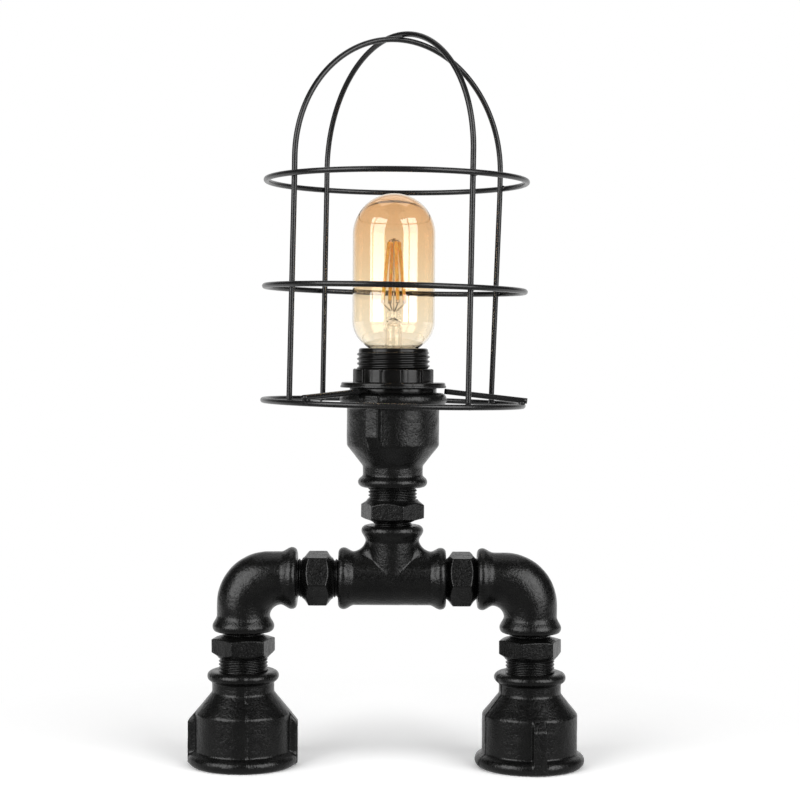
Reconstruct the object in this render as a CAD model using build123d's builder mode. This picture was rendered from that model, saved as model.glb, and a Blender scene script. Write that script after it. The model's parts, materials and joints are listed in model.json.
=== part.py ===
from build123d import *
import os
from math import cos, isclose, pi, radians, sin, sqrt, tan

# Industrial pipe table lamp: two feet, two elbows, a tee and a head of black malleable pipe
# fittings, made up on hexagon nipples, with an E27 lampholder, a welded wire cage and a long
# tubular filament bulb.  +X is to the right, +Y to the back, +Z up; the origin is on the table
# midway between the feet.  Pipe threads stay smooth: a male thread is drawn at its full radius.

# ---------------------------------------------------------------- driving dimensions (mm, deg)
# Pipe threads, outside radius of the male thread
half_inch_r = 10.48
three_quarter_r = 13.22
thread_fit = 0.12              # play of a made-up pipe thread
seat_fit = 0.05                # play where two pieces are pressed or screwed face to face
loose_fit = 0.2                # play of a piece that drops into a round opening

# Reducing sockets, 1 1/4" x 3/4": the two feet and, upside down, the head
socket_length = 51.0
socket_wide_bore_r = 20.2      # pitch radius of the 1 1/4" thread
socket_thread_depth = 16.0     # depth of the 1 1/4" thread
socket_cavity_r = 19.0         # plain cavity behind it
socket_cavity_depth = 28.5
socket_small_depth = 16.0      # depth of the 3/4" bore
socket_small_bead = 5.8        # length of the bead round the 3/4" mouth
socket_wide_bead = 8.6         # length of the bead round the 1 1/4" mouth
socket_small_round = 1.8       # rounding of the small bead
socket_wide_round = 3.0        # rounding of the wide bead
socket_small_step = 0.4        # where a bead runs out into the body
socket_wide_step = 1.5
socket_cone_start = 11.6       # where the cone starts and ends, from the 3/4" mouth
socket_cone_end = 22.6
foot_radii = (19.4, 16.8, 25.8, 29.7)     # small bead, neck, body, wide bead
head_radii = (18.7, 16.2, 24.9, 28.9)
rib_width = 8.5                # raised grips on the wide body, for a chain wrench
rib_flat = 5.6                 # width of their outer face
rib_root = 3.0                 # how far they reach into the body
left_rib_turn = 0.0            # direction of each pair of grips, from +X
right_rib_turn = -82.0
head_rib_turn = -113.5

# Half-inch elbows and tee
fitting_reach = 29.0           # centre to face
fitting_body_r = 14.35
fitting_bead_r = 16.7
fitting_bead = 5.8
fitting_bead_round = 1.6
fitting_passage_r = 9.4
fitting_thread_depth = 15.0
elbow_bend_r = 13.85           # bend of the outer back of an elbow
elbow_throat_r = 6.5           # rounding of its inner corner
elbow_web_root = 2.5           # how far the web in that corner reaches into the walls
branch_r = 14.05               # the tee's upright branch
crotch_round = 5.0             # rounding where it leaves the run

# Nipples
reducing_hex = 30.0            # across flats, 3/4" x 1/2" hexagon nipple
reducing_flat = 7.0            # length of its flats
reducing_low_shoulder = 3.2    # cone on the 3/4" side
reducing_high_shoulder = 2.4   # cone on the 1/2" side
nipple_land = 1.0              # flat face round each thread
three_quarter_length = 16.0    # length of its 3/4" thread
half_inch_length = 13.0        # length of its 1/2" thread
foot_hex_turn = (13.6, 11.0)   # hexagon of the left and right foot nipple, from the front
neck_hex_turn = -5.9
arm_hex = 26.4                 # across flats, 1/2" hexagon nipple
arm_flat = 8.0
arm_shoulder = 3.5
arm_thread_length = 14.5
arm_hex_turn = 9.0
nipple_bore_r = 8.0
nipple_wide_bore_r = 10.7      # bore of the 3/4" side
left_arm_gap = 22.4            # bare nipple between the elbow and the tee
right_arm_gap = 17.0
foot_thread_show = 7.0         # bare 3/4" thread above a foot
elbow_thread_show = 1.6        # bare 1/2" thread below an elbow
neck_low_show = 1.7            # bare 1/2" thread above the tee
neck_high_show = 6.3           # bare 3/4" thread below the head

# E27 lampholder, its shade ring and its fixing
holder_r = 19.4                # threaded skirt
holder_lower_r = 19.0          # part inside the head
holder_bore_r = 15.4
holder_mouth_r = 14.6
holder_lip = 1.5
holder_chamfer = 0.8
holder_rise = 24.1             # skirt above the head
holder_share = 0.31            # share of the head's length that the skirt sits in
collar_r = 23.5
collar_height = 1.6
base_wall_r = 14.4             # inner radius of the base cup
base_corner_r = 16.6
base_depth = 13.0              # height of the base cup
base_cone = 5.4                # its sloping bottom
base_cone_wall = 0.6
base_floor_wall = 2.0
boss_r = 7.5                   # round the M10 entry
boss_depth = 3.0
tube_r = 5.0                   # M10 x 1 tube
tube_bore_r = 4.1
tube_below = 6.5               # tube below the support plate
tube_above = 1.0               # tube above the bottom of the base cup
nut_hex = 14.0
nut_height = 3.0
plate_height = 2.0
shell_r = 13.95                # brass screw shell
shell_bore_r = 13.45
shell_height = 24.0
core_height = 11.0
contact_foot = 6.0             # spring of the centre contact, from the axis to its four bends
contact_heel = 4.5
contact_nose = 1.6
contact_tip = 3.2
strip_wall = 0.4
strip_width = 4.4
ring_flange_r = 28.2
ring_flange = 2.8
ring_wall_r = 21.8
ring_wall = 7.3
ring_thread_fit = 0.4
ring_groove = 0.7              # grip grooves in the wall
ring_groove_count = 12

# Wire cage
wire = 3.0                     # wire diameter
weld_gap = 0.05                # between two wires that are welded together
arch_r = 67.0                  # centreline of the arch legs
knee_drop = 12.0               # below the bend, where a leg turns upright
knee_round = 250.0
cage_lean = 0.65               # lean of the cage to the right
ring_leans = {"bottom": 1.0, "middle": 1.0, "top": 0.25}
# Direction of each arch's two legs from +X, at the bottom ring and at the bend
arch_legs = {
    "lower": ((35.0, 31.0), (216.7, 218.1)),
    "upper": ((126.9, 126.5), (305.2, 305.5)),
}
arch_top = 391.0               # centreline of the lower arch at its top
bottom_ring_drop = 8.1         # bottom ring below the hub
top_ring_drop = 8.5            # top ring below the arches' bend
middle_ring_share = 0.514      # middle ring, as a share of the way from the bottom to the top
spoke_turns = (231.0, 351.0, 111.0)
spoke_overhang = 2.5
hub_r = 28.6
spoke_start = 28.0             # where the spokes meet the hub's edge
spoke_clearance = 0.3          # between a spoke and the shade ring above it
hub_height = 1.2
hub_play = 0.3                 # between the hub and the holder

# Tubular LED-filament bulb
bulb_length = 110.0
bulb_r = 22.25
glass = 0.8
bulb_neck_r = 12.6
bulb_neck_height = 26.4        # top of the neck, where the glass flares out
bulb_shoulder = 41.5           # start of the straight wall
cap_r = 13.05
cap_wall = 0.3
cap_top = 25.6
cap_bottom = 5.4
cap_contact_r = 4.6
cap_contact_height = 1.4
contact_gap = 0.3              # between the bulb's contact and the holder's spring
stem_r = 4.5
stem_flare_r = 11.4
stem_flare_height = 15.0
stem_shoulder = 20.0
stem_top = 41.0
stem_round = 2.0
pinch_top = 47.0
filament_r = 1.1
filament_low = 51.5
filament_high = 84.0
filament_low_r = 6.4           # distance of the filaments' lower ends from the axis
filament_high_r = 2.9
filament_turns = (20.0, 110.0, 200.0, 290.0)
lead_r = 0.4

# Wiring
core_r = 1.1                   # insulated single core
core_circle = 1.6              # the three cores lie round this circle
core_turns = (150.0, 30.0, 270.0)
core_bend = 9.0
core_fan = 7.0                 # spacing of the cores at the terminals
core_entry = 1.5               # bends of the cores above the base cup's bottom
core_rise = 9.0
core_stub = 3.0                # above the block
core_gather = 6.0              # above the lower end of the foot's nipple
block_size = (24.0, 13.0, 15.0)
block_clearance = 0.8          # between the block and the foot's thread
terminal_size = (5.0, 6.0, 5.0)
earth_size = (4.0, 3.0, 5.0)   # earth post in the base cup
earth_y = -7.0
screw_r = 1.5
screw_sunk = 1.0
gland_clearance = 0.6          # cable entry above the foot's thread, in the back of the left foot
gland_r = 5.0
gland_bore_r = 3.5
gland_flange_r = 7.5
gland_lip_r = 5.8
gland_flange = 2.0
gland_play = 0.3               # between its lip and the wall of the foot's cavity

# ---------------------------------------------------------------- places that follow from them
foot_nipple_z = socket_length + foot_thread_show
reducing_height = reducing_low_shoulder + reducing_flat + reducing_high_shoulder
arm_z = foot_nipple_z + reducing_height + elbow_thread_show + fitting_reach
leg_spacing_left = left_arm_gap + 2 * fitting_reach
leg_spacing_right = right_arm_gap + 2 * fitting_reach
tee_x = (leg_spacing_left - leg_spacing_right) / 2
leg_x = {"left": tee_x - leg_spacing_left, "right": tee_x + leg_spacing_right}
tee_top = arm_z + fitting_reach
neck_z = tee_top + neck_low_show                    # bottom of the neck nipple's hexagon
head_z = neck_z + reducing_height + neck_high_show  # 3/4" mouth of the head
head_top = head_z + socket_length
collar_top = head_top + collar_height
ring_z = collar_top + hub_height                    # underside of the shade ring
holder_rim = head_top + holder_rise
holder_depth = holder_share * socket_length
skirt_bottom = head_top - holder_depth
plate_z = head_z - neck_high_show + three_quarter_length
core_top = skirt_bottom + core_height
bulb_z = core_top + 2.2                             # lowest point of the bulb
cage_ring_r = arch_r + wire + weld_gap
bottom_ring_z = collar_top - bottom_ring_drop
top_ring_z = arch_top - arch_r - top_ring_drop
middle_ring_z = bottom_ring_z + middle_ring_share * (top_ring_z - bottom_ring_z)
gland_z = socket_thread_depth + gland_lip_r + gland_clearance


# ---------------------------------------------------------------- shared shapes
def up(x, z, turn=0.0):
    """Level plane on a vertical axis, facing up, its X turned from +X."""
    return Plane((x, 0, z), x_dir=(cos(radians(turn)), sin(radians(turn)), 0), z_dir=(0, 0, 1))


def down(x, z):
    """Level plane on a vertical axis, facing down."""
    return Plane((x, 0, z), x_dir=(1, 0, 0), z_dir=(0, 0, -1))


def beside(end):
    """Plane through the axis of `end`: local X runs outward, local Y along the axis."""
    return Plane(end.origin, x_dir=end.x_dir, z_dir=end.y_dir * -1)


def spin(end, *outline, mode=Mode.ADD):
    """Spin a closed outline of (radius, height) points about the axis of `end`."""
    with BuildSketch(beside(end)) as profile:
        with BuildLine():
            Polyline(*outline, close=True)
        make_face()
    revolve(profile.sketch, axis=Axis(end.origin, end.z_dir), mode=mode)


def tube(end, outer, inner, start, stop):
    """Straight tube, or a rod where `inner` is 0, between two heights along the axis of `end`."""
    with BuildSketch(end.offset(start)) as ring:
        Circle(outer)
        if inner:
            Circle(inner, mode=Mode.SUBTRACT)
    extrude(ring.sketch, amount=stop - start)


def bore(end, radius, start, stop):
    """Round hole between two heights along the axis of `end`."""
    with BuildSketch(end.offset(start)) as hole:
        Circle(radius)
    extrude(hole.sketch, amount=stop - start, mode=Mode.SUBTRACT)


def rims(part, radius):
    """Circular edges of one radius."""
    circles = part.edges().filter_by(GeomType.CIRCLE)
    return circles.filter_by(lambda edge: isclose(edge.radius, radius, abs_tol=0.01))


def keep(piece, label):
    """Name a finished piece and write it."""
    piece.label = label
    export_step(piece, f"parts/{label}.step")


os.makedirs("parts", exist_ok=True)


# ---------------------------------------------------------------- pipe fittings
def reducing_socket(mouth, radii, rib_turn):
    """Reducing socket whose 3/4" mouth is at `mouth` and whose wide end lies along its normal."""
    small_bead_r, neck_r, body_r, wide_bead_r = radii
    small_bore_r = three_quarter_r + thread_fit
    wide_start = socket_length - socket_wide_bead
    with BuildPart() as socket:
        spin(
            mouth,
            (0, 0),
            (small_bead_r, 0),
            (small_bead_r, socket_small_bead),
            (neck_r, socket_small_bead + socket_small_step),
            (neck_r, socket_cone_start),
            (body_r, socket_cone_end),
            (body_r, wide_start - socket_wide_step),
            (wide_bead_r, wide_start),
            (wide_bead_r, socket_length),
            (0, socket_length),
        )
        fillet(rims(socket, small_bead_r), socket_small_round)
        fillet(rims(socket, wide_bead_r), socket_wide_round)
        for turn in (rib_turn, rib_turn + 180):
            outward = Plane(
                mouth.origin,
                x_dir=(cos(radians(turn)), sin(radians(turn)), 0),
                z_dir=Vector(cos(radians(turn)), sin(radians(turn)), 0).cross(mouth.z_dir),
            )
            cone_slope = (socket_cone_end - socket_cone_start) / (body_r - neck_r)
            grip_end = socket_length - socket_wide_round
            with BuildSketch(outward) as grip:
                with BuildLine():
                    Polyline(
                        (body_r - rib_root, socket_cone_end),
                        (body_r, socket_cone_end),
                        (wide_bead_r, socket_cone_end + (wide_bead_r - body_r) * cone_slope),
                        (wide_bead_r, grip_end),
                        (body_r - rib_root, grip_end),
                        close=True,
                    )
                make_face()
            with BuildPart(mode=Mode.PRIVATE) as grip_block:
                extrude(grip.sketch, amount=rib_width / 2, both=True)
                long_edges = grip_block.edges().filter_by(
                    lambda edge: abs(abs(edge.tangent_at(0).dot(mouth.z_dir)) - 1) < 1e-6
                )
                outer_edges = long_edges.group_by(
                    lambda edge: (edge.center() - mouth.origin).cross(mouth.z_dir).length
                )[-1]
                chamfer(outer_edges, (rib_width - rib_flat) / 2)
            add(grip_block.part)
        spin(
            mouth,
            (0, -1),
            (small_bore_r, -1),
            (small_bore_r, socket_small_depth),
            (socket_cavity_r, socket_length - socket_cavity_depth),
            (socket_cavity_r, socket_length - socket_thread_depth),
            (socket_wide_bore_r, socket_length - socket_thread_depth),
            (socket_wide_bore_r, socket_length + 1),
            (0, socket_length + 1),
            mode=Mode.SUBTRACT,
        )
    return socket


def hexagon_nipple(base, hexagon, shoulders, flat, threads, bores, turn):
    """Hexagon nipple on `base`, the lower end of its hexagon; each pair is (lower, upper)."""
    across_corners = hexagon / sqrt(3)
    height = shoulders[0] + flat + shoulders[1]
    low_r, low_length = threads[0]
    high_r, high_length = threads[1]
    with BuildPart() as nipple:
        with BuildSketch(base) as outline:
            RegularPolygon(across_corners, 6, rotation=turn)
        extrude(outline.sketch, amount=height)
        spin(
            base,
            (0, 0),
            (low_r + nipple_land, 0),
            (across_corners, shoulders[0]),
            (across_corners, height - shoulders[1]),
            (high_r + nipple_land, height),
            (0, height),
            mode=Mode.INTERSECT,
        )
        tube(base, low_r, 0, -low_length, 0)
        tube(base, high_r, 0, height, height + high_length)
        bore(base, bores[1], -low_length, height + high_length)
        if bores[0] > bores[1]:
            bore(base, bores[0], -low_length, height / 2)
    return nipple


def port_bore(port, passage):
    """Threaded mouth and passage of a half-inch fitting, cut inwards from one face."""
    bore(port, half_inch_r + thread_fit, 0, -fitting_thread_depth)
    bore(port, fitting_passage_r, 0, -passage)


def port_bead(port):
    """Rounded bead round a half-inch fitting's mouth."""
    tube(port, fitting_bead_r, 0, -fitting_bead, 0)


def elbow_90(corner_x, toward):
    """Elbow with one mouth down and the other `toward` (+1 right, -1 left)."""
    side_port = Plane((corner_x + toward * fitting_reach, 0, arm_z), z_dir=(toward, 0, 0))
    foot_port = down(corner_x, arm_z - fitting_reach)
    bend_centre = (corner_x + toward * elbow_bend_r, 0, arm_z - elbow_bend_r)
    upright = Plane((corner_x, 0, arm_z), x_dir=(toward, 0, 0), z_dir=(0, -toward, 0))
    inner = fitting_body_r - elbow_web_root
    throat = fitting_body_r + elbow_throat_r
    with BuildPart() as elbow:
        with BuildSketch(up(corner_x, arm_z - elbow_bend_r)) as section:
            Circle(fitting_body_r)
            with Locations((toward * (elbow_bend_r + fitting_body_r), 0)):
                Rectangle(2 * fitting_body_r, 2 * fitting_body_r, mode=Mode.SUBTRACT)
        revolve(section.sketch, axis=Axis(bend_centre, (0, toward, 0)), revolution_arc=90)
        for port in (side_port, foot_port):
            tube(port, fitting_body_r, 0, elbow_bend_r - fitting_reach, 0)
        with BuildSketch(upright) as web:
            with BuildLine():
                Polyline(
                    (throat, -fitting_body_r), (throat, -inner), (inner, -inner), (inner, -throat),
                    (fitting_body_r, -throat),
                )
                RadiusArc((fitting_body_r, -throat), (throat, -fitting_body_r), elbow_throat_r)
            make_face()
        extrude(web.sketch, amount=elbow_throat_r, both=True)
        for port in (side_port, foot_port):
            port_bead(port)
        fillet(rims(elbow, fitting_bead_r), fitting_bead_round)
        for port in (side_port, foot_port):
            port_bore(port, fitting_reach - elbow_bend_r)
        with BuildSketch(up(corner_x, arm_z - elbow_bend_r)) as passage:
            Circle(fitting_passage_r)
        revolve(
            passage.sketch,
            axis=Axis(bend_centre, (0, toward, 0)),
            revolution_arc=90,
            mode=Mode.SUBTRACT,
        )
    return elbow


for side, toward, radii, rib_turn, hex_turn in (
    ("left", 1, foot_radii, left_rib_turn, foot_hex_turn[0]),
    ("right", -1, foot_radii, right_rib_turn, foot_hex_turn[1]),
):
    with BuildPart() as foot:
        add(reducing_socket(down(leg_x[side], socket_length), radii, rib_turn).part)
        if side == "left":
            gland_hole = Plane((leg_x[side], 0, gland_z), z_dir=(0, 1, 0))
            bore(gland_hole, gland_r + thread_fit, 0, radii[3] + gland_flange)
    keep(foot.part, f"foot_{side}")

    with BuildPart() as foot_nipple:
        add(
            hexagon_nipple(
                up(leg_x[side], foot_nipple_z),
                reducing_hex,
                (reducing_low_shoulder, reducing_high_shoulder),
                reducing_flat,
                ((three_quarter_r, three_quarter_length), (half_inch_r, half_inch_length)),
                (nipple_wide_bore_r, nipple_bore_r),
                hex_turn,
            ).part
        )
    keep(foot_nipple.part, f"foot_nipple_{side}")

    elbow = elbow_90(leg_x[side], toward)
    keep(elbow.part, f"elbow_{side}")

for side, gap, start_x in (
    ("left", left_arm_gap, leg_x["left"] + fitting_reach),
    ("right", right_arm_gap, tee_x + fitting_reach),
):
    arm_height = arm_flat + 2 * arm_shoulder
    arm_base = Plane((start_x + (gap - arm_height) / 2, 0, arm_z), x_dir=(0, -1, 0), z_dir=(1, 0, 0))
    with BuildPart() as arm_nipple:
        add(
            hexagon_nipple(
                arm_base,
                arm_hex,
                (arm_shoulder, arm_shoulder),
                arm_flat,
                ((half_inch_r, arm_thread_length), (half_inch_r, arm_thread_length)),
                (nipple_bore_r, nipple_bore_r),
                arm_hex_turn,
            ).part
        )
    keep(arm_nipple.part, f"arm_nipple_{side}")

tee_ports = (
    Plane((tee_x - fitting_reach, 0, arm_z), z_dir=(-1, 0, 0)),
    Plane((tee_x + fitting_reach, 0, arm_z), z_dir=(1, 0, 0)),
    up(tee_x, tee_top),
)
with BuildPart() as tee:
    tube(tee_ports[1], fitting_body_r, 0, -2 * fitting_reach, 0)
    tube(tee_ports[2], branch_r, 0, -fitting_reach, 0)
    crease = tee.edges().filter_by(lambda edge: edge.geom_type not in (GeomType.CIRCLE, GeomType.LINE))
    fillet(crease, crotch_round)
    for port in tee_ports:
        port_bead(port)
    fillet(rims(tee, fitting_bead_r), fitting_bead_round)
    for port in tee_ports:
        port_bore(port, fitting_reach)
keep(tee.part, "tee")

with BuildPart() as neck_nipple:
    add(
        hexagon_nipple(
            down(tee_x, neck_z + reducing_height),
            reducing_hex,
            (reducing_low_shoulder, reducing_high_shoulder),
            reducing_flat,
            ((three_quarter_r, three_quarter_length), (half_inch_r, half_inch_length)),
            (nipple_wide_bore_r, nipple_bore_r),
            neck_hex_turn,
        ).part
    )
keep(neck_nipple.part, "neck_nipple")

with BuildPart() as head_socket:
    add(reducing_socket(up(tee_x, head_z), head_radii, head_rib_turn).part)
keep(head_socket.part, "head_socket")

# ---------------------------------------------------------------- lampholder and its fixing
with BuildPart() as support_tube:
    tube_top = skirt_bottom - base_depth + tube_above
    tube(up(tee_x, 0), tube_r, tube_bore_r, plate_z - tube_below, tube_top)
keep(support_tube.part, "support_tube")

with BuildPart() as support_plate:
    tube(up(tee_x, plate_z), three_quarter_r - loose_fit, tube_r + seat_fit, 0, plate_height)
keep(support_plate.part, "support_plate")

with BuildPart() as tube_nuts:
    for nut_z in (plate_z - nut_height, plate_z + plate_height):
        with BuildSketch(up(tee_x, nut_z)) as nut:
            RegularPolygon(nut_hex / sqrt(3), 6)
            Circle(tube_r + seat_fit, mode=Mode.SUBTRACT)
        extrude(nut.sketch, amount=nut_height)
keep(tube_nuts.part, "tube_nuts")

with BuildPart() as lampholder_base:
    spin(
        up(tee_x, skirt_bottom),
        (tube_r + seat_fit, -base_depth - boss_depth),
        (boss_r, -base_depth - boss_depth),
        (boss_r, -base_depth),
        (base_corner_r - base_cone, -base_depth),
        (base_corner_r, -base_depth + base_cone),
        (base_corner_r, 0),
        (base_wall_r, 0),
        (base_wall_r, -base_depth + base_cone + base_cone_wall),
        (base_wall_r - base_cone, -base_depth + base_floor_wall),
        (tube_r + seat_fit, -base_depth + base_floor_wall),
    )
keep(lampholder_base.part, "lampholder_base")

with BuildPart() as lampholder_skirt:
    spin(
        up(tee_x, head_top),
        (holder_bore_r, -holder_depth),
        (holder_lower_r, -holder_depth),
        (holder_lower_r, 0),
        (collar_r, 0),
        (collar_r, collar_height),
        (holder_r, collar_height),
        (holder_r, holder_rise - holder_chamfer),
        (holder_r - holder_chamfer, holder_rise),
        (holder_mouth_r, holder_rise),
        (holder_mouth_r, holder_rise - holder_lip),
        (holder_bore_r, holder_rise - holder_lip),
    )
keep(lampholder_skirt.part, "lampholder_skirt")

with BuildPart() as insulator_core:
    tube(up(tee_x, skirt_bottom), holder_bore_r - loose_fit, 0, 0, core_height)
    for turn in (0, 180):
        with Locations((tee_x + core_fan * cos(radians(turn)), 0, skirt_bottom)):
            Box(*terminal_size[:2], core_height, align=(Align.CENTER, Align.CENTER, Align.CENTER),
                mode=Mode.SUBTRACT)
keep(insulator_core.part, "insulator_core")

with BuildPart() as screw_shell:
    tube(up(tee_x, core_top), shell_r, shell_bore_r, 0, shell_height)
keep(screw_shell.part, "screw_shell")

with BuildPart() as centre_contact:
    spring_top = bulb_z - contact_gap - core_top
    with BuildSketch(Plane((tee_x, 0, core_top), x_dir=(1, 0, 0), z_dir=(0, -1, 0))) as strip:
        with BuildLine():
            Polyline(
                (-contact_foot, 0), (-contact_heel, 0), (-contact_nose, spring_top - strip_wall),
                (contact_nose, spring_top - strip_wall), (contact_tip, strip_wall),
                (contact_tip + strip_wall, 1.5 * strip_wall), (contact_nose + strip_wall, spring_top),
                (-contact_nose - strip_wall, spring_top), (-contact_heel - strip_wall, strip_wall),
                (-contact_foot, strip_wall),
                close=True,
            )
        make_face()
    extrude(strip.sketch, amount=strip_width / 2, both=True)
keep(centre_contact.part, "centre_contact")

with BuildPart() as terminals:
    for turn in (0, 180):
        with Locations((tee_x + core_fan * cos(radians(turn)), 0, skirt_bottom + core_height / 2)):
            Box(terminal_size[0] - 2 * seat_fit, terminal_size[1] - 2 * seat_fit, terminal_size[2],
                align=(Align.CENTER, Align.CENTER, Align.MAX))
keep(terminals.part, "terminals")

with BuildPart() as earth_post:
    post_floor = skirt_bottom - base_depth + base_floor_wall
    with Locations((tee_x, earth_y, post_floor)):
        Box(*earth_size, align=(Align.CENTER, Align.CENTER, Align.MIN))
keep(earth_post.part, "earth_post")

with BuildPart() as shade_ring:
    spin(
        up(tee_x, ring_z + seat_fit),
        (holder_r + ring_thread_fit, 0),
        (ring_flange_r, 0),
        (ring_flange_r, ring_flange),
        (ring_wall_r, ring_flange),
        (ring_wall_r, ring_flange + ring_wall),
        (holder_r + ring_thread_fit, ring_flange + ring_wall),
    )
    with BuildSketch(up(tee_x, ring_z + seat_fit + ring_flange)) as grooves:
        with PolarLocations(ring_wall_r, ring_groove_count, start_angle=12):
            Rectangle(2 * ring_groove, 2 * ring_groove)
    extrude(grooves.sketch, amount=ring_wall, mode=Mode.SUBTRACT)
keep(shade_ring.part, "shade_ring")

# ---------------------------------------------------------------- welded wire cage
def leaning(base, lean):
    """Plane at `base` that leans to the right by `lean` degrees."""
    tilt = radians(lean)
    return Plane(base, x_dir=(cos(tilt), 0, -sin(tilt)), z_dir=(sin(tilt), 0, cos(tilt)))


cage = leaning((tee_x, 0, collar_top), cage_lean)


def cage_level(height):
    """Plane of the leaning cage at a height above the table."""
    return cage.offset(height - collar_top)


def ring_level(name, height):
    """Plane of one of the cage's rings, which each lean a little differently."""
    return leaning(cage_level(height).origin, ring_leans[name])


def leg_point(level, turn):
    """Centre of an arch's leg where it crosses a level of the cage."""
    out = Vector(cos(radians(turn)), sin(radians(turn)), 0)
    return level.from_local_coords(out * arch_r)


def rod(start, end, radius):
    """Round rod between two points."""
    run = Vector(end) - Vector(start)
    with BuildSketch(Plane(start, z_dir=run)) as section:
        Circle(radius)
    extrude(section.sketch, amount=run.length)


with BuildPart() as cage_hub:
    tube(up(tee_x, collar_top), hub_r, holder_r + hub_play, 0, hub_height)
    spoke_z = ring_z - spoke_clearance - wire / 2
    spoke_level = ring_level("bottom", bottom_ring_z).offset(wire + weld_gap)
    for turn in spoke_turns:
        out = Vector(cos(radians(turn)), sin(radians(turn)), 0)
        inner_end = Vector(tee_x, 0, spoke_z) + out * spoke_start
        on_ring = spoke_level.from_local_coords(out * cage_ring_r)
        reach = on_ring - inner_end
        outer_end = inner_end + reach * (1 + spoke_overhang / reach.length)
        rod(inner_end, outer_end, wire / 2)
keep(cage_hub.part, "cage_hub")

for name, height in (("bottom", bottom_ring_z), ("middle", middle_ring_z), ("top", top_ring_z)):
    level = ring_level(name, height)
    with BuildPart() as cage_ring:
        with BuildSketch(beside(level)) as section:
            with Locations((cage_ring_r, 0)):
                Circle(wire / 2)
        revolve(section.sketch, axis=Axis(level.origin, level.z_dir))
    keep(cage_ring.part, f"cage_ring_{name}")

for name, rise in (("lower", 0), ("upper", wire + weld_gap)):
    leg_bottom = cage_level(bottom_ring_z - wire / 2)
    spring = cage_level(arch_top - arch_r + rise)
    feet = [leg_point(leg_bottom, low) for low, high in arch_legs[name]]
    bends = [leg_point(spring, high) for low, high in arch_legs[name]]
    knees = [bend - spring.z_dir * knee_drop for bend in bends]
    crown = (bends[0] + bends[1]) / 2 + spring.z_dir * (bends[0] - bends[1]).length / 2
    with BuildPart() as cage_arch:
        with BuildLine() as path:
            FilletPolyline(feet[0], knees[0], bends[0], radius=knee_round)
            ThreePointArc(bends[0], crown, bends[1])
            FilletPolyline(bends[1], knees[1], feet[1], radius=knee_round)
        with BuildSketch(Plane(feet[0], z_dir=knees[0] - feet[0])) as section:
            Circle(wire / 2)
        sweep(section.sketch, path=path.line)
    keep(cage_arch.part, f"cage_arch_{name}")

# ---------------------------------------------------------------- bulb
bulb = up(tee_x, bulb_z)
dome_z = bulb_length - bulb_r
flare_rise = bulb_shoulder - bulb_neck_height
flare_width = bulb_r - bulb_neck_r
flare_r = (flare_width**2 + flare_rise**2) / (2 * flare_width)
inner_neck_r = bulb_neck_r - glass
inner_neck_z = bulb_shoulder - sqrt((flare_r - glass) ** 2 - (inner_neck_r - bulb_r + flare_r) ** 2)

with BuildPart() as bulb_glass:
    with BuildSketch(beside(bulb)) as wall:
        with BuildLine():
            Line((bulb_neck_r, stem_flare_height - 1), (bulb_neck_r, bulb_neck_height))
            TangentArc((bulb_r, bulb_shoulder), (bulb_neck_r, bulb_neck_height), tangent=(0, -1))
            Line((bulb_r, bulb_shoulder), (bulb_r, dome_z))
            TangentArc((bulb_r, dome_z), (0, bulb_length), tangent=(0, 1))
            Line((0, bulb_length), (0, bulb_length - glass))
            TangentArc((bulb_r - glass, dome_z), (0, bulb_length - glass), tangent=(0, 1))
            Line((bulb_r - glass, dome_z), (bulb_r - glass, bulb_shoulder))
            TangentArc((bulb_r - glass, bulb_shoulder), (inner_neck_r, inner_neck_z), tangent=(0, -1))
            Line((inner_neck_r, inner_neck_z), (inner_neck_r, stem_flare_height - 1))
            Line((inner_neck_r, stem_flare_height - 1), (bulb_neck_r, stem_flare_height - 1))
        make_face()
    revolve(wall.sketch, axis=Axis(bulb.origin, bulb.z_dir))
keep(bulb_glass.part, "bulb_glass")

with BuildPart() as bulb_cap:
    spin(
        bulb,
        (cap_r - 3.5, cap_bottom),
        (cap_r - 1.2, cap_bottom),
        (cap_r, cap_bottom + 1.6),
        (cap_r, cap_top),
        (cap_r - cap_wall, cap_top),
        (cap_r - cap_wall, cap_bottom + 1.7),
        (cap_r - 1.4, cap_bottom + cap_wall),
        (cap_r - 3.5, cap_bottom + cap_wall),
    )
keep(bulb_cap.part, "bulb_cap")

with BuildPart() as cap_insulator:
    spin(
        bulb,
        (0, cap_contact_height),
        (cap_contact_r, cap_contact_height),
        (cap_r - 3.5, cap_bottom - seat_fit),
        (0, cap_bottom - seat_fit),
    )
keep(cap_insulator.part, "cap_insulator")

with BuildPart() as cap_contact:
    spin(
        bulb,
        (0, 0),
        (cap_contact_r - 1.4, 0),
        (cap_contact_r, cap_contact_height - 0.5),
        (cap_contact_r, cap_contact_height),
        (0, cap_contact_height),
    )
keep(cap_contact.part, "cap_contact")

with BuildPart() as bulb_stem:
    spin(
        bulb,
        (stem_flare_r, stem_flare_height),
        (stem_flare_r, stem_flare_height + glass),
        (stem_r + glass, stem_shoulder),
        (stem_r, stem_shoulder + stem_round),
        (stem_r, stem_top),
        (stem_r / 2, stem_top + stem_round),
        (stem_r / 2, pinch_top),
        (0, pinch_top),
        (0, stem_top - glass),
        (stem_r - glass, stem_top - stem_round),
        (stem_r - glass, stem_shoulder + stem_round),
        (stem_r, stem_shoulder - glass),
        (stem_flare_r - 2 * glass, stem_flare_height),
    )
keep(bulb_stem.part, "bulb_stem")


def bulb_point(turn, radius, height):
    """Point of the bulb at a direction, a distance from its axis and a height above its foot."""
    return (tee_x + radius * cos(radians(turn)), radius * sin(radians(turn)), bulb_z + height)


with BuildPart() as bulb_filaments:
    for turn in filament_turns:
        rod(
            bulb_point(turn, filament_low_r, filament_low),
            bulb_point(turn, filament_high_r, filament_high),
            filament_r,
        )
keep(bulb_filaments.part, "bulb_filaments")

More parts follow.
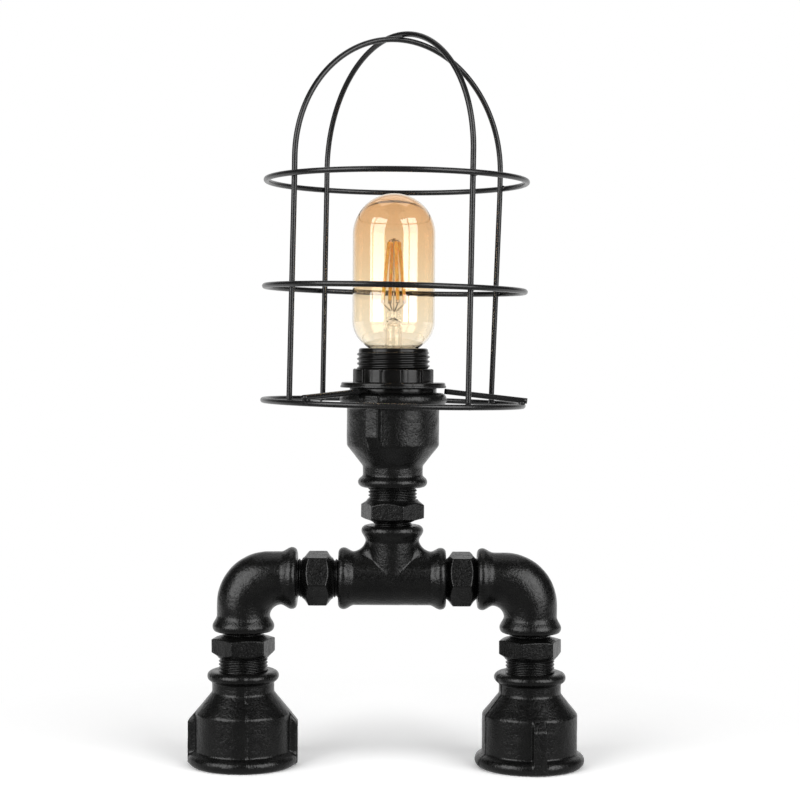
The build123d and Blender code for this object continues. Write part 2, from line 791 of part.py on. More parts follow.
with BuildPart() as bulb_lead_wires:
    rod(bulb_point(0, 0, pinch_top), bulb_point(0, 0, filament_high + 2), lead_r)
    for turn in filament_turns:
        rod(
            bulb_point(turn, 0, filament_high + 2 - lead_r),
            bulb_point(turn, filament_high_r, filament_high + lead_r),
            lead_r,
        )
        rod(
            bulb_point(turn, 1.3, pinch_top + lead_r),
            bulb_point(turn, filament_low_r, filament_low - lead_r),
            lead_r,
        )
keep(bulb_lead_wires.part, "bulb_lead_wires")

# ---------------------------------------------------------------- wiring inside the pipes
block_z = socket_thread_depth + block_clearance
block_top = block_z + block_size[2]
with BuildPart() as terminal_block:
    with Locations((leg_x["left"], 0, block_z)):
        Box(*block_size, align=(Align.CENTER, Align.CENTER, Align.MIN))
    for end, inwards in ((block_z, 1), (block_top, -1)):
        with BuildSketch(up(leg_x["left"], end)) as entries:
            with GridLocations(core_fan, 0, 3, 1):
                Circle(core_r + 0.2)
        extrude(entries.sketch, amount=inwards * block_size[2] / 3, mode=Mode.SUBTRACT)
    front = Plane(
        (leg_x["left"], -block_size[1] / 2, block_z + block_size[2] / 2),
        x_dir=(1, 0, 0),
        z_dir=(0, -1, 0),
    )
    with BuildSketch(front) as wells:
        with GridLocations(core_fan, block_size[2] / 2, 3, 2):
            Circle(screw_r + 0.2)
    extrude(wells.sketch, amount=-block_size[1] / 4, mode=Mode.SUBTRACT)
keep(terminal_block.part, "terminal_block")

with BuildPart() as block_screws:
    with BuildSketch(front.offset(-block_size[1] / 4)) as screws:
        with GridLocations(core_fan, block_size[2] / 2, 3, 2):
            Circle(screw_r)
    extrude(screws.sketch, amount=block_size[1] / 4 - screw_sunk)
keep(block_screws.part, "block_screws")

gland = Plane((leg_x["left"], 0, gland_z), x_dir=(1, 0, 0), z_dir=(0, 1, 0))
gland_outer = foot_radii[2] + seat_fit
gland_inner = sqrt(socket_cavity_r**2 - gland_lip_r**2) - gland_play
with BuildPart() as cable_grommet:
    spin(
        gland,
        (gland_bore_r, gland_inner - gland_flange),
        (gland_lip_r, gland_inner - gland_flange),
        (gland_lip_r, gland_inner),
        (gland_r, gland_inner),
        (gland_r, gland_outer),
        (gland_flange_r, gland_outer),
        (gland_flange_r, gland_outer + gland_flange),
        (gland_bore_r, gland_outer + gland_flange),
    )
keep(cable_grommet.part, "cable_grommet")


def bend_radii(points):
    """Largest neat bend at each inner point of a route, up to what a fitting's passage allows."""
    radii = []
    for before, here, after in zip(points, points[1:], points[2:]):
        arriving = Vector(here) - Vector(before)
        leaving = Vector(after) - Vector(here)
        turn = radians(arriving.get_angle(leaving))
        fits = 0.45 * min(arriving.length, leaving.length) / tan(turn / 2)
        radii.append(min(core_bend, fits))
    return radii


for name, turn, lower_slot in (
    ("live", core_turns[1], 1),
    ("neutral", core_turns[0], -1),
    ("earth", core_turns[2], 0),
):
    across = core_circle * cos(radians(turn))
    deep = core_circle * sin(radians(turn))
    base_floor = skirt_bottom - base_depth
    if lower_slot:
        upper_end = [
            (tee_x + across, deep, base_floor + core_entry),
            (tee_x + lower_slot * core_fan, 0, base_floor + core_rise),
            (tee_x + lower_slot * core_fan, 0, skirt_bottom + core_height / 2 - terminal_size[2]),
        ]
    else:
        earth_core_z = base_floor + base_floor_wall + earth_size[2] / 2
        upper_end = [
            (tee_x + across, deep, earth_core_z),
            (tee_x + across, earth_y + earth_size[1] / 2, earth_core_z),
        ]
    route_points = [
        (leg_x["left"] + lower_slot * core_fan, 0, block_top - block_size[2] / 3),
        (leg_x["left"] + lower_slot * core_fan, 0, block_top + core_stub),
        (leg_x["left"] + across, deep, foot_nipple_z - three_quarter_length + core_gather),
        (leg_x["left"] + across, deep, arm_z - across),
        (tee_x + across, deep, arm_z - across),
        *upper_end,
    ]
    radii = bend_radii(route_points)
    with BuildPart() as core:
        with BuildLine() as route:
            FilletPolyline(*route_points, radius=radii)
        with BuildSketch(Plane(route.line @ 0, z_dir=route.line % 0)) as section:
            Circle(core_r)
        sweep(section.sketch, path=route.line)
    expected = pi * core_r**2 * route.wire().length
    print(f"{name}_core bends", [round(radius, 1) for radius in radii], "volume ratio",
          round(core.part.volume / expected, 4))
    keep(core.part, f"{name}_core")
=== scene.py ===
import json
from math import acos, atan2, cos, degrees, exp, hypot, pi, radians, sin, sqrt, tan

import bmesh
import bpy
import numpy as np
from mathutils import Matrix, Vector, noise


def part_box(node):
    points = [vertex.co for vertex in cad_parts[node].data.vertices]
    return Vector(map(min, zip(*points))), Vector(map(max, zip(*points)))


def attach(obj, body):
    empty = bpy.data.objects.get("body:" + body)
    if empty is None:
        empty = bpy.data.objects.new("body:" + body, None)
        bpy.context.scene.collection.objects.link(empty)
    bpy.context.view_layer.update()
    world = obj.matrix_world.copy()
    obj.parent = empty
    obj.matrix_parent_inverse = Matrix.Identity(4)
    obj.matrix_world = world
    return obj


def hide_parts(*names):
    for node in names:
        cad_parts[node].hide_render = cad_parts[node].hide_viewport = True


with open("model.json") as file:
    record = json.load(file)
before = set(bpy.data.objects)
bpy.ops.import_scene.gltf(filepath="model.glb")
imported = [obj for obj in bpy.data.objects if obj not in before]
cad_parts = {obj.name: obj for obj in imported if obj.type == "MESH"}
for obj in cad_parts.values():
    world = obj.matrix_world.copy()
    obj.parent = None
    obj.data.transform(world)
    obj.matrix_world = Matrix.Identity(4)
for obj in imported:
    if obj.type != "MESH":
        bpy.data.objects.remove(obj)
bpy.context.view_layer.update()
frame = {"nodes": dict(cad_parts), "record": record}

# Sizes are in millimetres and degrees, as in the part's own source, and become metres in make_mesh.
MM = 0.001


# ---------------- places taken from the frame
def box_mm(node):
    """Lowest and highest corner of a CAD node, in millimetres."""
    low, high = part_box(node)
    return low / MM, high / MM


def middle(node, axis):
    """Middle of a CAD node along one axis."""
    low, high = box_mm(node)
    return (low[axis] + high[axis]) / 2


tee_x = middle("tee", 0)
leg_x = {side: middle(f"foot_{side}", 0) for side in ("left", "right")}
arm_z = middle("arm_nipple_left", 2)
foot_top = box_mm("foot_left")[1].z
head_bottom = box_mm("head_socket")[0].z
head_top = box_mm("head_socket")[1].z
fitting_reach = arm_z - box_mm("elbow_left")[0].z
collar_top = box_mm("cage_hub")[1].z
holder_rim = box_mm("lampholder_skirt")[1].z
skirt_bottom = box_mm("lampholder_skirt")[0].z
bulb_foot = box_mm("cap_contact")[0].z
bulb_top = box_mm("bulb_glass")[1].z


# ---------------- mesh tools
def new_object(name, data):
    """Object in the scene, made of some data."""
    piece = bpy.data.objects.new(name, data)
    bpy.context.scene.collection.objects.link(piece)
    return piece


def smooth_faces(mesh):
    """Shade every face smooth."""
    mesh.polygons.foreach_set("use_smooth", [True] * len(mesh.polygons))


def make_mesh(name, points, faces):
    """Object made of points in millimetres."""
    mesh = bpy.data.meshes.new(name)
    mesh.from_pydata([[c * MM for c in point] for point in points], [], faces)
    mesh.validate()
    smooth_faces(mesh)
    return new_object(name, mesh)


def arc_points(before, corner, after, radius, steps):
    """Points of a rounded corner in a flat outline."""
    a = Vector(before) - Vector(corner)
    b = Vector(after) - Vector(corner)
    half = a.angle(b) / 2
    if radius <= 0 or half > radians(89.5):
        return [tuple(corner)]
    setback = min(radius / tan(half), 0.49 * a.length, 0.49 * b.length)
    radius = setback * tan(half)
    bisector = (a.normalized() + b.normalized()).normalized()
    centre = Vector(corner) + bisector * (radius / sin(half))
    start = Vector(corner) + a.normalized() * setback - centre
    end = Vector(corner) + b.normalized() * setback - centre
    sweep = start.angle(end)
    points = []
    for step in range(steps + 1):
        share = step / steps
        blend = start * sin((1 - share) * sweep) + end * sin(share * sweep)
        points.append(tuple(centre + blend / sin(sweep)))
    return points


def outline(*corners, closed=True, longest=1.2, steps=5):
    """Flat outline of (radius, height, rounding) corners, with no edge longer than `longest`."""
    count = len(corners)
    rounded = []
    for i, corner in enumerate(corners):
        if closed or 0 < i < count - 1:
            before = corners[i - 1][:2]
            after = corners[(i + 1) % count][:2]
            rounded += arc_points(before, corner[:2], after, corner[2], steps)
        else:
            rounded.append(tuple(corner[:2]))
    points = []
    pairs = zip(rounded, rounded[1:] + rounded[:1] if closed else rounded[1:])
    for here, there in pairs:
        length = hypot(there[0] - here[0], there[1] - here[1])
        parts = max(1, int(length / longest + 0.999))
        for k in range(parts):
            share = k / parts
            points.append(tuple(a + (b - a) * share for a, b in zip(here, there)))
    if not closed:
        points.append(rounded[-1])
    return points


class Stand:
    """Where a turned piece stands: an origin, the direction of its axis and of its zero angle."""

    def __init__(self, origin, axis=(0, 0, 1), zero=(1, 0, 0)):
        self.origin = Vector(origin)
        self.axis = Vector(axis).normalized()
        self.zero = (Vector(zero) - self.axis * Vector(zero).dot(self.axis)).normalized()
        self.side = self.axis.cross(self.zero)

    def point(self, turn, radius, height):
        """Point at an angle in radians, a distance from the axis and a height along it."""
        across = self.zero * cos(turn) + self.side * sin(turn)
        return self.origin + across * radius + self.axis * height


def skin(name, rings, closed=False, caps=False):
    """Surface through rings of points, each ring with the same number of points."""
    count = len(rings)
    around = len(rings[0])
    faces = []
    for i in range(count if closed else count - 1):
        here, there = i * around, (i + 1) % count * around
        for k in range(around):
            n = (k + 1) % around
            faces.append((here + k, here + n, there + n, there + k))
    if caps:
        faces.append(tuple(range(around))[::-1])
        faces.append(tuple(range((count - 1) * around, count * around)))
    piece = make_mesh(name, [point for ring in rings for point in ring], faces)
    tidy(piece)
    return piece


def turned(name, stand, profile, segments=96, shape=None, closed=True):
    """Mesh turned about the stand's axis; `shape(turn, radius, height)` may move each point."""
    rings = []
    for radius, height in profile:
        ring = []
        for k in range(segments):
            turn = 2 * pi * k / segments
            r, h = shape(turn, radius, height) if shape else (radius, height)
            ring.append(stand.point(turn, r, h))
        rings.append(ring)
    return skin(name, rings, closed)


def tidy(piece):
    """Weld doubled points and turn all faces outwards."""
    merge = 1e-6
    bm = bmesh.new()
    bm.from_mesh(piece.data)
    bmesh.ops.remove_doubles(bm, verts=bm.verts, dist=merge)
    bmesh.ops.dissolve_degenerate(bm, edges=bm.edges, dist=merge / 10)
    bmesh.ops.recalc_face_normals(bm, faces=bm.faces)
    bm.to_mesh(piece.data)
    bm.free()


def swept(name, centres, radius, sides=16, closed=False):
    """Round wire through a list of centre points in millimetres."""
    rings = []
    count = len(centres)
    centres = [Vector(c) for c in centres]
    side = None
    for i, centre in enumerate(centres):
        ahead = centres[(i + 1) % count] if closed or i < count - 1 else centre
        behind = centres[i - 1] if closed or i > 0 else centre
        along = (ahead - behind).normalized()
        if side is None:
            side = along.orthogonal().normalized()
        side = (side - along * side.dot(along)).normalized()
        other = along.cross(side)
        turns = [2 * pi * k / sides for k in range(sides)]
        rings.append([centre + (side * cos(turn) + other * sin(turn)) * radius for turn in turns])
    return skin(name, rings, closed, caps=not closed)


def join(name, pieces):
    """Join several meshes into one object."""
    bm = bmesh.new()
    for piece in pieces:
        bm.from_mesh(piece.data)
    mesh = bpy.data.meshes.new(name)
    bm.to_mesh(mesh)
    bm.free()
    for piece in pieces:
        old = piece.data
        bpy.data.objects.remove(piece)
        bpy.data.meshes.remove(old)
    smooth_faces(mesh)
    return new_object(name, mesh)


def apply_modifiers(piece):
    """Make the mesh that the modifiers give the piece's own."""
    graph = bpy.context.evaluated_depsgraph_get()
    mesh = bpy.data.meshes.new_from_object(piece.evaluated_get(graph))
    piece.modifiers.clear()
    piece.data = mesh


def voxel_remesh(piece, size):
    """Merge a piece's shells into one skin of even faces, `size` millimetres across."""
    remesh = piece.modifiers.new("remesh", "REMESH")
    remesh.mode = "VOXEL"
    remesh.voxel_size = size * MM
    apply_modifiers(piece)


def between(start, end, steps):
    """Evenly spaced points from one point to another."""
    return [start.lerp(end, k / steps) for k in range(steps + 1)]


def smooth_step(low, high, value):
    """0 below `low`, 1 above `high`, and a smooth rise between."""
    share = min(1.0, max(0.0, (value - low) / (high - low)))
    return share * share * (3 - 2 * share)


def soft_min(a, b, width):
    """Smaller of two values, with the corner between them rounded over `width`."""
    share = max(0.0, width - abs(a - b)) / width
    return min(a, b) - share * share * width / 4


def finish_piece(piece, body, slot, *nodes):
    """Ride, replace, name the slot and paint one piece."""
    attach(piece, body)
    if nodes:
        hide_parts(*nodes)
    piece.data.materials.clear()
    piece.data.materials.append(materials[slot])


# ---------------- materials
class Nodes:
    """Small helper round one node tree."""

    def __init__(self, tree):
        self.tree = tree

    def put(self, socket, value):
        """Link an output to an input, or set the input's own value."""
        if isinstance(value, bpy.types.NodeSocket):
            self.tree.links.new(value, socket)
        else:
            socket.default_value = value

    def node(self, kind, **sockets):
        """New node with some of its inputs linked or set."""
        node = self.tree.nodes.new("ShaderNode" + kind)
        for socket, value in sockets.items():
            self.put(node.inputs[socket.replace("_", " ")], value)
        return node

    def math(self, operation, first, second):
        """Result of an operation on two outputs."""
        node = self.node("Math")
        node.operation = operation
        self.put(node.inputs[0], first)
        self.put(node.inputs[1], second)
        return node.outputs["Value"]

    def spread(self, value, low, high, first=0.0, last=1.0, way="LINEAR"):
        """Map a value from low..high to first..last."""
        node = self.node("MapRange", Value=value, From_Min=low, From_Max=high, To_Min=first, To_Max=last)
        node.interpolation_type = way
        return node.outputs["Result"]

    def axis(self, place, name):
        """One coordinate of a place."""
        return self.node("SeparateXYZ", Vector=place).outputs[name]

    def rays(self):
        """Kinds of ray, and 1 for one from the camera, straight or through glass."""
        kinds = self.node("LightPath").outputs
        return kinds, self.math("MAXIMUM", kinds["Is Camera Ray"], kinds["Is Transmission Ray"])


class Paint(Nodes):
    """One Principled material, built from noise layers."""

    def __init__(self, name, colour, roughness, **sockets):
        self.material = bpy.data.materials.new(name)
        self.material.use_nodes = True
        super().__init__(self.material.node_tree)
        self.shader = self.tree.nodes["Principled BSDF"]
        self.colour((*colour, 1))
        self.roughness(roughness)
        for socket, value in sockets.items():
            self.put(self.shader.inputs[socket.replace("_", " ")], value)
        self.place = self.node("TexCoord").outputs["Object"]

    def noise(self, size, detail=3.0, roughness=0.5, stretch=None):
        """Noise with features about `size` millimetres across."""
        place = self.place
        if stretch:
            place = self.node("Mapping", Vector=place, Scale=stretch).outputs["Vector"]
        node = self.node("TexNoise", Vector=place, Scale=1 / (size * MM), Detail=detail, Roughness=roughness)
        return node.outputs["Fac"]

    def mix(self, share, first, last):
        """Colour between two colours."""
        node = self.node("Mix")
        node.data_type = "RGBA"
        self.put(node.inputs[0], share)
        for socket, colour in ((node.inputs[6], first), (node.inputs[7], last)):
            self.put(socket, (*colour, 1) if isinstance(colour, tuple) else colour)
        return node.outputs[2]

    def colour(self, source):
        self.put(self.shader.inputs["Base Color"], source)

    def roughness(self, source):
        self.put(self.shader.inputs["Roughness"], source)

    def bump(self, *layers):
        """Bump from (height source, depth in millimetres) layers."""
        normal = None
        for source, depth in layers:
            node = self.node("Bump", Strength=1.0, Distance=depth * MM, Height=source)
            if normal:
                self.put(node.inputs["Normal"], normal)
            normal = node.outputs["Normal"]
        self.put(self.shader.inputs["Normal"], normal)


def black_iron():
    """Satin black paint over a cast skin, a little greyer where it is rubbed."""
    paint = Paint("black_iron", (0.003, 0.003, 0.003), 0.3, Specular_IOR_Level=0.4)
    grain = paint.noise(1.3, detail=2.0, roughness=0.55)
    pits = paint.noise(0.5, detail=2.0)
    waves = paint.noise(8.0, detail=1.0)
    fresh, rubbed = (0.002, 0.002, 0.002), (0.0035, 0.0035, 0.0033)
    paint.colour(paint.mix(paint.spread(waves, 0.35, 0.7), fresh, rubbed))
    paint.roughness(paint.spread(grain, 0.3, 0.7, 0.22, 0.36))
    paint.bump((waves, 0.3), (grain, 0.19), (pits, 0.045))
    return paint.material


def black_wire():
    """Satin black paint on drawn wire."""
    paint = Paint("black_wire", (0.007, 0.007, 0.0072), 0.28, Specular_IOR_Level=0.5)
    grain = paint.noise(0.8, detail=2.0)
    paint.roughness(paint.spread(grain, 0.3, 0.7, 0.22, 0.34))
    paint.bump((grain, 0.035))
    return paint.material


def black_plastic():
    """Semi-gloss black phenolic with faint flow marks."""
    paint = Paint("black_plastic", (0.004, 0.004, 0.004), 0.17, Specular_IOR_Level=0.32)
    flow = paint.noise(4.0, detail=3.0)
    paint.colour(paint.mix(flow, (0.003, 0.003, 0.003), (0.006, 0.0055, 0.005)))
    paint.roughness(paint.spread(flow, 0.3, 0.7, 0.13, 0.22))
    paint.bump((flow, 0.03))
    return paint.material


def plain_paint(name, low, high, size, rough_low, rough_high, depth, metallic=0.0):
    """Material with one noise that varies its colour, roughness and height."""
    paint = Paint(name, high, rough_high, Metallic=metallic)
    grain = paint.noise(size)
    paint.colour(paint.mix(paint.spread(grain, 0.3, 0.7), low, high))
    paint.roughness(paint.spread(grain, 0.3, 0.7, rough_low, rough_high))
    paint.bump((grain, depth))
    return paint.material


def amber_glass():
    """Clear glass with an amber tint that is denser towards the dome."""
    paint = Paint("amber_glass", (0.95, 0.78, 0.52), 0.0, IOR=1.68, Transmission_Weight=1.0)
    height = paint.axis(paint.place, "Z")
    cloud = paint.spread(paint.noise(18.0, detail=1.0), 0.3, 0.7, 0.0, 0.12)
    pale, warm, dense = (0.98, 0.94, 0.84), (0.955, 0.83, 0.65), (0.885, 0.64, 0.41)
    haze = (0.92, 0.74, 0.52)
    waist = bulb_foot + 62
    lower = paint.spread(height, (bulb_foot + 24) * MM, waist * MM)
    upper = paint.spread(height, waist * MM, (bulb_top - 4) * MM)
    tint = paint.mix(upper, paint.mix(lower, pale, warm), dense)
    paint.colour(paint.mix(cloud, tint, haze))
    return paint.material


def clear_glass():
    """Lead glass of the stem, with fine draw lines."""
    paint = Paint("clear_glass", (0.95, 0.93, 0.9), 0.02, IOR=1.5, Transmission_Weight=1.0)
    lines = paint.noise(1.5, detail=2.0, stretch=(1, 1, 0.15))
    paint.colour(paint.mix(lines, (0.93, 0.9, 0.86), (0.98, 0.97, 0.95)))
    paint.bump((lines, 0.05))
    return paint.material


def filament_coat():
    """Amber phosphor coat of an LED filament, unlit."""
    paint = Paint("filament", (0.98, 0.6, 0.14), 0.45, Subsurface_Weight=0.5, Subsurface_Scale=0.003)
    grain = paint.noise(0.6, detail=3.0)
    bands = paint.noise(1.6, detail=1.0, stretch=(0.4, 0.4, 1.0))
    paint.colour(paint.mix(paint.spread(bands, 0.3, 0.7), (0.95, 0.50, 0.09), (1.0, 0.66, 0.17)))
    paint.bump((grain, 0.05))
    return paint.material


materials = {
    "black_iron": black_iron(),
    "black_wire": black_wire(),
    "black_plastic": black_plastic(),
    "amber_glass": amber_glass(),
    "clear_glass": clear_glass(),
    "filament": filament_coat(),
}
# Darkest and lightest colour, size of the grain, least and greatest roughness, depth, metallic
for name, look in {
    "white_insulator": ((0.70, 0.67, 0.60), (0.82, 0.80, 0.74), 3.0, 0.45, 0.6, 0.03),
    "brass": ((0.62, 0.45, 0.18), (0.76, 0.58, 0.27), 2.0, 0.22, 0.38, 0.01, 1.0),
    "cap_brass": ((0.62, 0.56, 0.40), (0.74, 0.68, 0.50), 1.5, 0.2, 0.36, 0.015, 1.0),
    "steel": ((0.50, 0.50, 0.52), (0.66, 0.66, 0.67), 1.2, 0.28, 0.45, 0.01, 1.0),
    "cap_glass": ((0.012, 0.012, 0.014), (0.03, 0.03, 0.035), 2.0, 0.08, 0.2, 0.02),
    "solder": ((0.52, 0.52, 0.50), (0.66, 0.66, 0.64), 0.9, 0.25, 0.5, 0.06, 1.0),
    "lead_wire": ((0.36, 0.30, 0.24), (0.52, 0.46, 0.38), 0.7, 0.3, 0.45, 0.01, 1.0),
    "brown_pvc": ((0.16, 0.06, 0.025), (0.24, 0.10, 0.04), 2.0, 0.35, 0.5, 0.01),
    "blue_pvc": ((0.03, 0.10, 0.42), (0.06, 0.16, 0.55), 2.0, 0.35, 0.5, 0.01),
    "green_pvc": ((0.08, 0.30, 0.05), (0.72, 0.68, 0.06), 1.8, 0.35, 0.5, 0.01),
    "black_rubber": ((0.016, 0.016, 0.016), (0.026, 0.026, 0.027), 0.7, 0.6, 0.78, 0.04),
}.items():
    materials[name] = plain_paint(name, *look)


# ---------------- pipe fittings
half_inch_r = 10.48
three_quarter_r = 13.22
thread_fit = 0.12
pipe_pitch = 1.814             # 14 turns to the inch
wide_pitch = 2.309             # 11 turns to the inch, in the sockets' wide mouths
passage_r = 9.4                # passage through the elbows and the tee
mouth_depth = 15.0             # depth of their threaded mouths


def finish_iron(piece, node):
    """Finish a piece of the stand in black paint."""
    finish_piece(piece, "stand", "black_iron", node)


def wobble(point, size, height):
    """Slow unevenness of a casting, in millimetres."""
    return height * noise.noise(Vector(point) / size)


def lateral(turn, centre, radius):
    """Distance round the surface from the line at `centre`."""
    return radius * ((turn - centre + pi) % (2 * pi) - pi)


def bead(r, bulge, low, high, start, end):
    """Half-round bead between two heights, as corners of an outline; angles in degrees."""
    corners = []
    for step in range(13):
        turn = radians(start + (end - start) * step / 12)
        corners.append((r - bulge + bulge * cos(turn), (low + high + (high - low) * sin(turn)) / 2, 0))
    return corners


def socket_piece(name, stand, radii, grip_turn, seam_turn, wide_bead=6.8):
    """Reducing socket from its 3/4" mouth at height 0 to its 1 1/4" mouth."""
    length, small_bead = 51.0, 5.8
    cone_start, cone_end = 11.6, 22.6
    small_bead_r, neck_r, body_r, wide_bead_r = radii
    bore_r = three_quarter_r + thread_fit
    lip_r, wide_root_r, cavity_r = 20.9, 19.9, 19.0
    wide_start = length - wide_bead
    cone_slope = (cone_end - cone_start) / (body_r - neck_r)
    outer = outline(
        (bore_r, 0, 0), *bead(small_bead_r, 3.2, 0, small_bead, -90, 58),
        (neck_r, small_bead + 0.5, 1.6), (neck_r, cone_start, 2.6), (body_r, cone_end, 2.6),
        (body_r, wide_start - 0.9, 1.4), *bead(wide_bead_r, 3.0, wide_start, length, -58, 90),
        (lip_r, length, 0),
        closed=False, longest=0.7, steps=6,
    )
    thread = outline(
        (wide_root_r, length - 1.0, 0), (wide_root_r, length - 16, 0), closed=False, longest=0.5)
    inner = [(cavity_r, length - 16.4), (cavity_r, length - 28.5), (bore_r, 16.0)]
    flat_half, base_half = 2.8, 4.2        # half widths of a grip at its face and at its foot
    thread_rise, seam_rise, seam_half, skin_rise = 0.65, 0.5, 0.4, 0.12

    def shape(turn, r, h):
        if wide_root_r - 0.4 < r < wide_root_r + 0.5 and h > length - 15.5:
            wave = winding(-turn, h, wide_pitch)
            return r + thread_rise * (1 - abs(2 * wave - 1)), h
        if r <= bore_r + 0.6:
            return r, h
        place = (cos(turn) * r, sin(turn) * r, h)
        if r > body_r - 1.5 and cone_end - 1.5 < h < length - 1.0:
            reach = min(wide_bead_r, body_r + (h - cone_end) / cone_slope)
            base = r
            for side in (0, pi):
                across = abs(lateral(turn, grip_turn + side, body_r))
                flat = reach / cos(across / body_r) if across < base_half else 0
                if flat > base:
                    r = base + (flat - base) * (1 - smooth_step(flat_half, base_half, across))
        away = lateral(turn, seam_turn + wobble(place, 6.0, 0.02), r)
        ridge = seam_rise * exp(-(away / seam_half) ** 2) * (0.75 + wobble(place, 2.2, 0.9))
        if r > 16.0 and h < length - 0.4:
            r += ridge + wobble(place, 5.0, skin_rise)
        return r, h

    return turned(name, stand, outer + thread + inner, 420, shape)


def winding(turn, height, pitch):
    """Place within one turn of a right-hand thread, 0 to 1."""
    return (height / pitch - turn / (2 * pi)) % 1.0


def thread_wave(turn, height, pitch):
    """0 at a thread's root and 1 at its rounded crest."""
    wave = winding(turn, height, pitch)
    return smooth_step(0.0, 0.5, 0.5 - abs(wave - 0.5))


def shoulder_r(thread_r, corner_r, share):
    """Hollow-sided shoulder between a thread and the corners of the hexagon."""
    if share >= 1.25:
        return 99
    return thread_r + 0.4 + (corner_r - thread_r - 0.1) * share ** 1.7


def nipple_piece(name, stand, visible, hexagon, shoulders, flat, ends, bores):
    """Hexagon nipple: heights run from the lower end of its hexagon; stand.zero is a corner."""
    segments, thread_depth = 180, 0.85
    corner_r = hexagon / sqrt(3)
    height = shoulders[0] + flat + shoulders[1]
    (low_r, low_length), (high_r, high_length) = ends
    top = height + high_length
    rows = []
    for start, stop, step in (
        (-low_length, -visible[0], 2.0), (-visible[0], 0, 0.15), (0, height, 0.3),
        (height, height + visible[1], 0.15), (height + visible[1], top, 2.0),
    ):
        parts = max(1, int((stop - start) / step + 0.5))
        rows += [start + (stop - start) * k / parts for k in range(parts)]
    rows.append(top)

    def outer_r(turn, h):
        place = (cos(turn) * corner_r, sin(turn) * corner_r, h)
        if 0 < h < height:
            flat_turn = (turn % (pi / 3)) - pi / 6
            hex_r = corner_r * cos(pi / 6) / cos(flat_turn)
            low = shoulder_r(low_r, corner_r, h / shoulders[0])
            high = shoulder_r(high_r, corner_r, (height - h) / shoulders[1])
            return soft_min(soft_min(hex_r, low, 0.7), high, 0.7) + wobble(place, 4.0, 0.08)
        end_r = low_r if h <= 0 else high_r
        edge = min(h + low_length, top - h)
        return end_r - thread_depth * (1 - thread_wave(turn, h, pipe_pitch)) * smooth_step(0, 1.0, edge)

    turns = [2 * pi * k / segments for k in range(segments)]
    rings = [[stand.point(turn, outer_r(turn, h), h) for turn in turns] for h in rows]
    low_bore, high_bore = bores
    for r, h in (
        (high_bore, top), (high_bore, height / 2), (low_bore, height / 2), (low_bore, -low_length)):
        rings.append([stand.point(turn, r, h) for turn in turns])
    return skin(name, rings, closed=True)


fitting_body_r = 14.35
fitting_bead_r = 16.7
fitting_bead = 5.8
face_drop = 2.3                # how far a bead's edge at the face lies below its crest
flare_end = 8.8                # where a fitting's bead has run out into its body


def bead_rise(distance):
    """How far a fitting stands out from its body at a distance from its face."""
    full = fitting_bead_r - fitting_body_r
    crest = fitting_bead / 2
    if distance < crest:
        return full - face_drop * (1 - sqrt(max(0.0, 1 - (1 - distance / crest) ** 2.1)))
    return full * (1 - smooth_step(crest, flare_end, distance))


def elbow_piece(name, corner_x, toward):
    """Elbow with one mouth down and the other towards +X or -X."""
    bend_r, throat_r = 13.85, 6.5
    level = 6.6                # sections are square to each mouth up to here from its face
    chamfer = 0.7
    segments, level_steps, fan = 144, 22, 72
    throat = fitting_body_r + throat_r
    outer_lead = fitting_reach - bend_r - level
    inner_lead = fitting_reach - throat - level
    outer_arc = (bend_r + fitting_body_r) * pi / 2
    inner_arc = throat_r * pi / 2

    def along(share, lead, arc, centre, radius):
        """Point and outward direction of one side of the bend, and its distance from a face."""
        travel = share * (2 * lead + arc)
        rest = 2 * lead + arc - travel
        if travel < lead:
            low = Vector((centre - radius, level + travel - fitting_reach))
            return low, Vector((-1, 0)), level + travel
        if rest < lead:
            high = Vector((fitting_reach - level - rest, radius - centre))
            return high, Vector((0, 1)), level + rest
        turn = (travel - lead) / arc * pi / 2
        way = Vector((-cos(turn), sin(turn)))
        return Vector((centre, -centre)) + way * radius, way, level + min(travel, rest)

    def section(outer, inner, half_width):
        centre = (outer + inner) / 2
        reach = (outer - inner) / 2
        ring = []
        for k in range(segments):
            turn = 2 * pi * k / segments
            flat = centre + reach * cos(turn)
            ring.append(Vector((corner_x + toward * flat.x, half_width * sin(turn), arm_z + flat.y)))
        return ring

    def below(r, h):
        """Section of the lower mouth at a distance from its face."""
        return section(Vector((-r, h - fitting_reach)), Vector((r, h - fitting_reach)), r)

    def beside(r, h):
        """Section of the side mouth at a distance from its face."""
        return section(Vector((fitting_reach - h, r)), Vector((fitting_reach - h, -r)), r)

    levels = [level * k / level_steps for k in range(level_steps)]
    rings = [below(fitting_body_r + bead_rise(h), h) for h in levels]
    for k in range(fan + 1):
        share = k / fan
        outer, out_way, out_h = along(share, outer_lead, outer_arc, bend_r, bend_r + fitting_body_r)
        inner, in_way, in_h = along(share, inner_lead, inner_arc, throat, throat_r)
        outer = outer + out_way * bead_rise(out_h)
        inner = inner - in_way * bead_rise(in_h)
        rings.append(section(outer, inner, fitting_body_r + bead_rise((out_h + in_h) / 2)))
    rings += [beside(fitting_body_r + bead_rise(h), h) for h in reversed(levels)]
    bore_r = half_inch_r + thread_fit
    mouth = ((bore_r + chamfer, 0), (bore_r, chamfer), (bore_r, mouth_depth), (passage_r, mouth_depth))
    rings += [beside(r, h) for r, h in mouth]
    centre = Vector((bend_r, -bend_r))
    for k in range(13):
        turn = pi / 2 * (1 - k / 12)
        way = Vector((-cos(turn), sin(turn)))
        far, near = centre + way * (bend_r + passage_r), centre + way * (bend_r - passage_r)
        rings.append(section(far, near, passage_r))
    rings += [below(r, h) for r, h in reversed(mouth)]
    piece = skin(name, rings, closed=True)
    roughen(piece)
    return piece


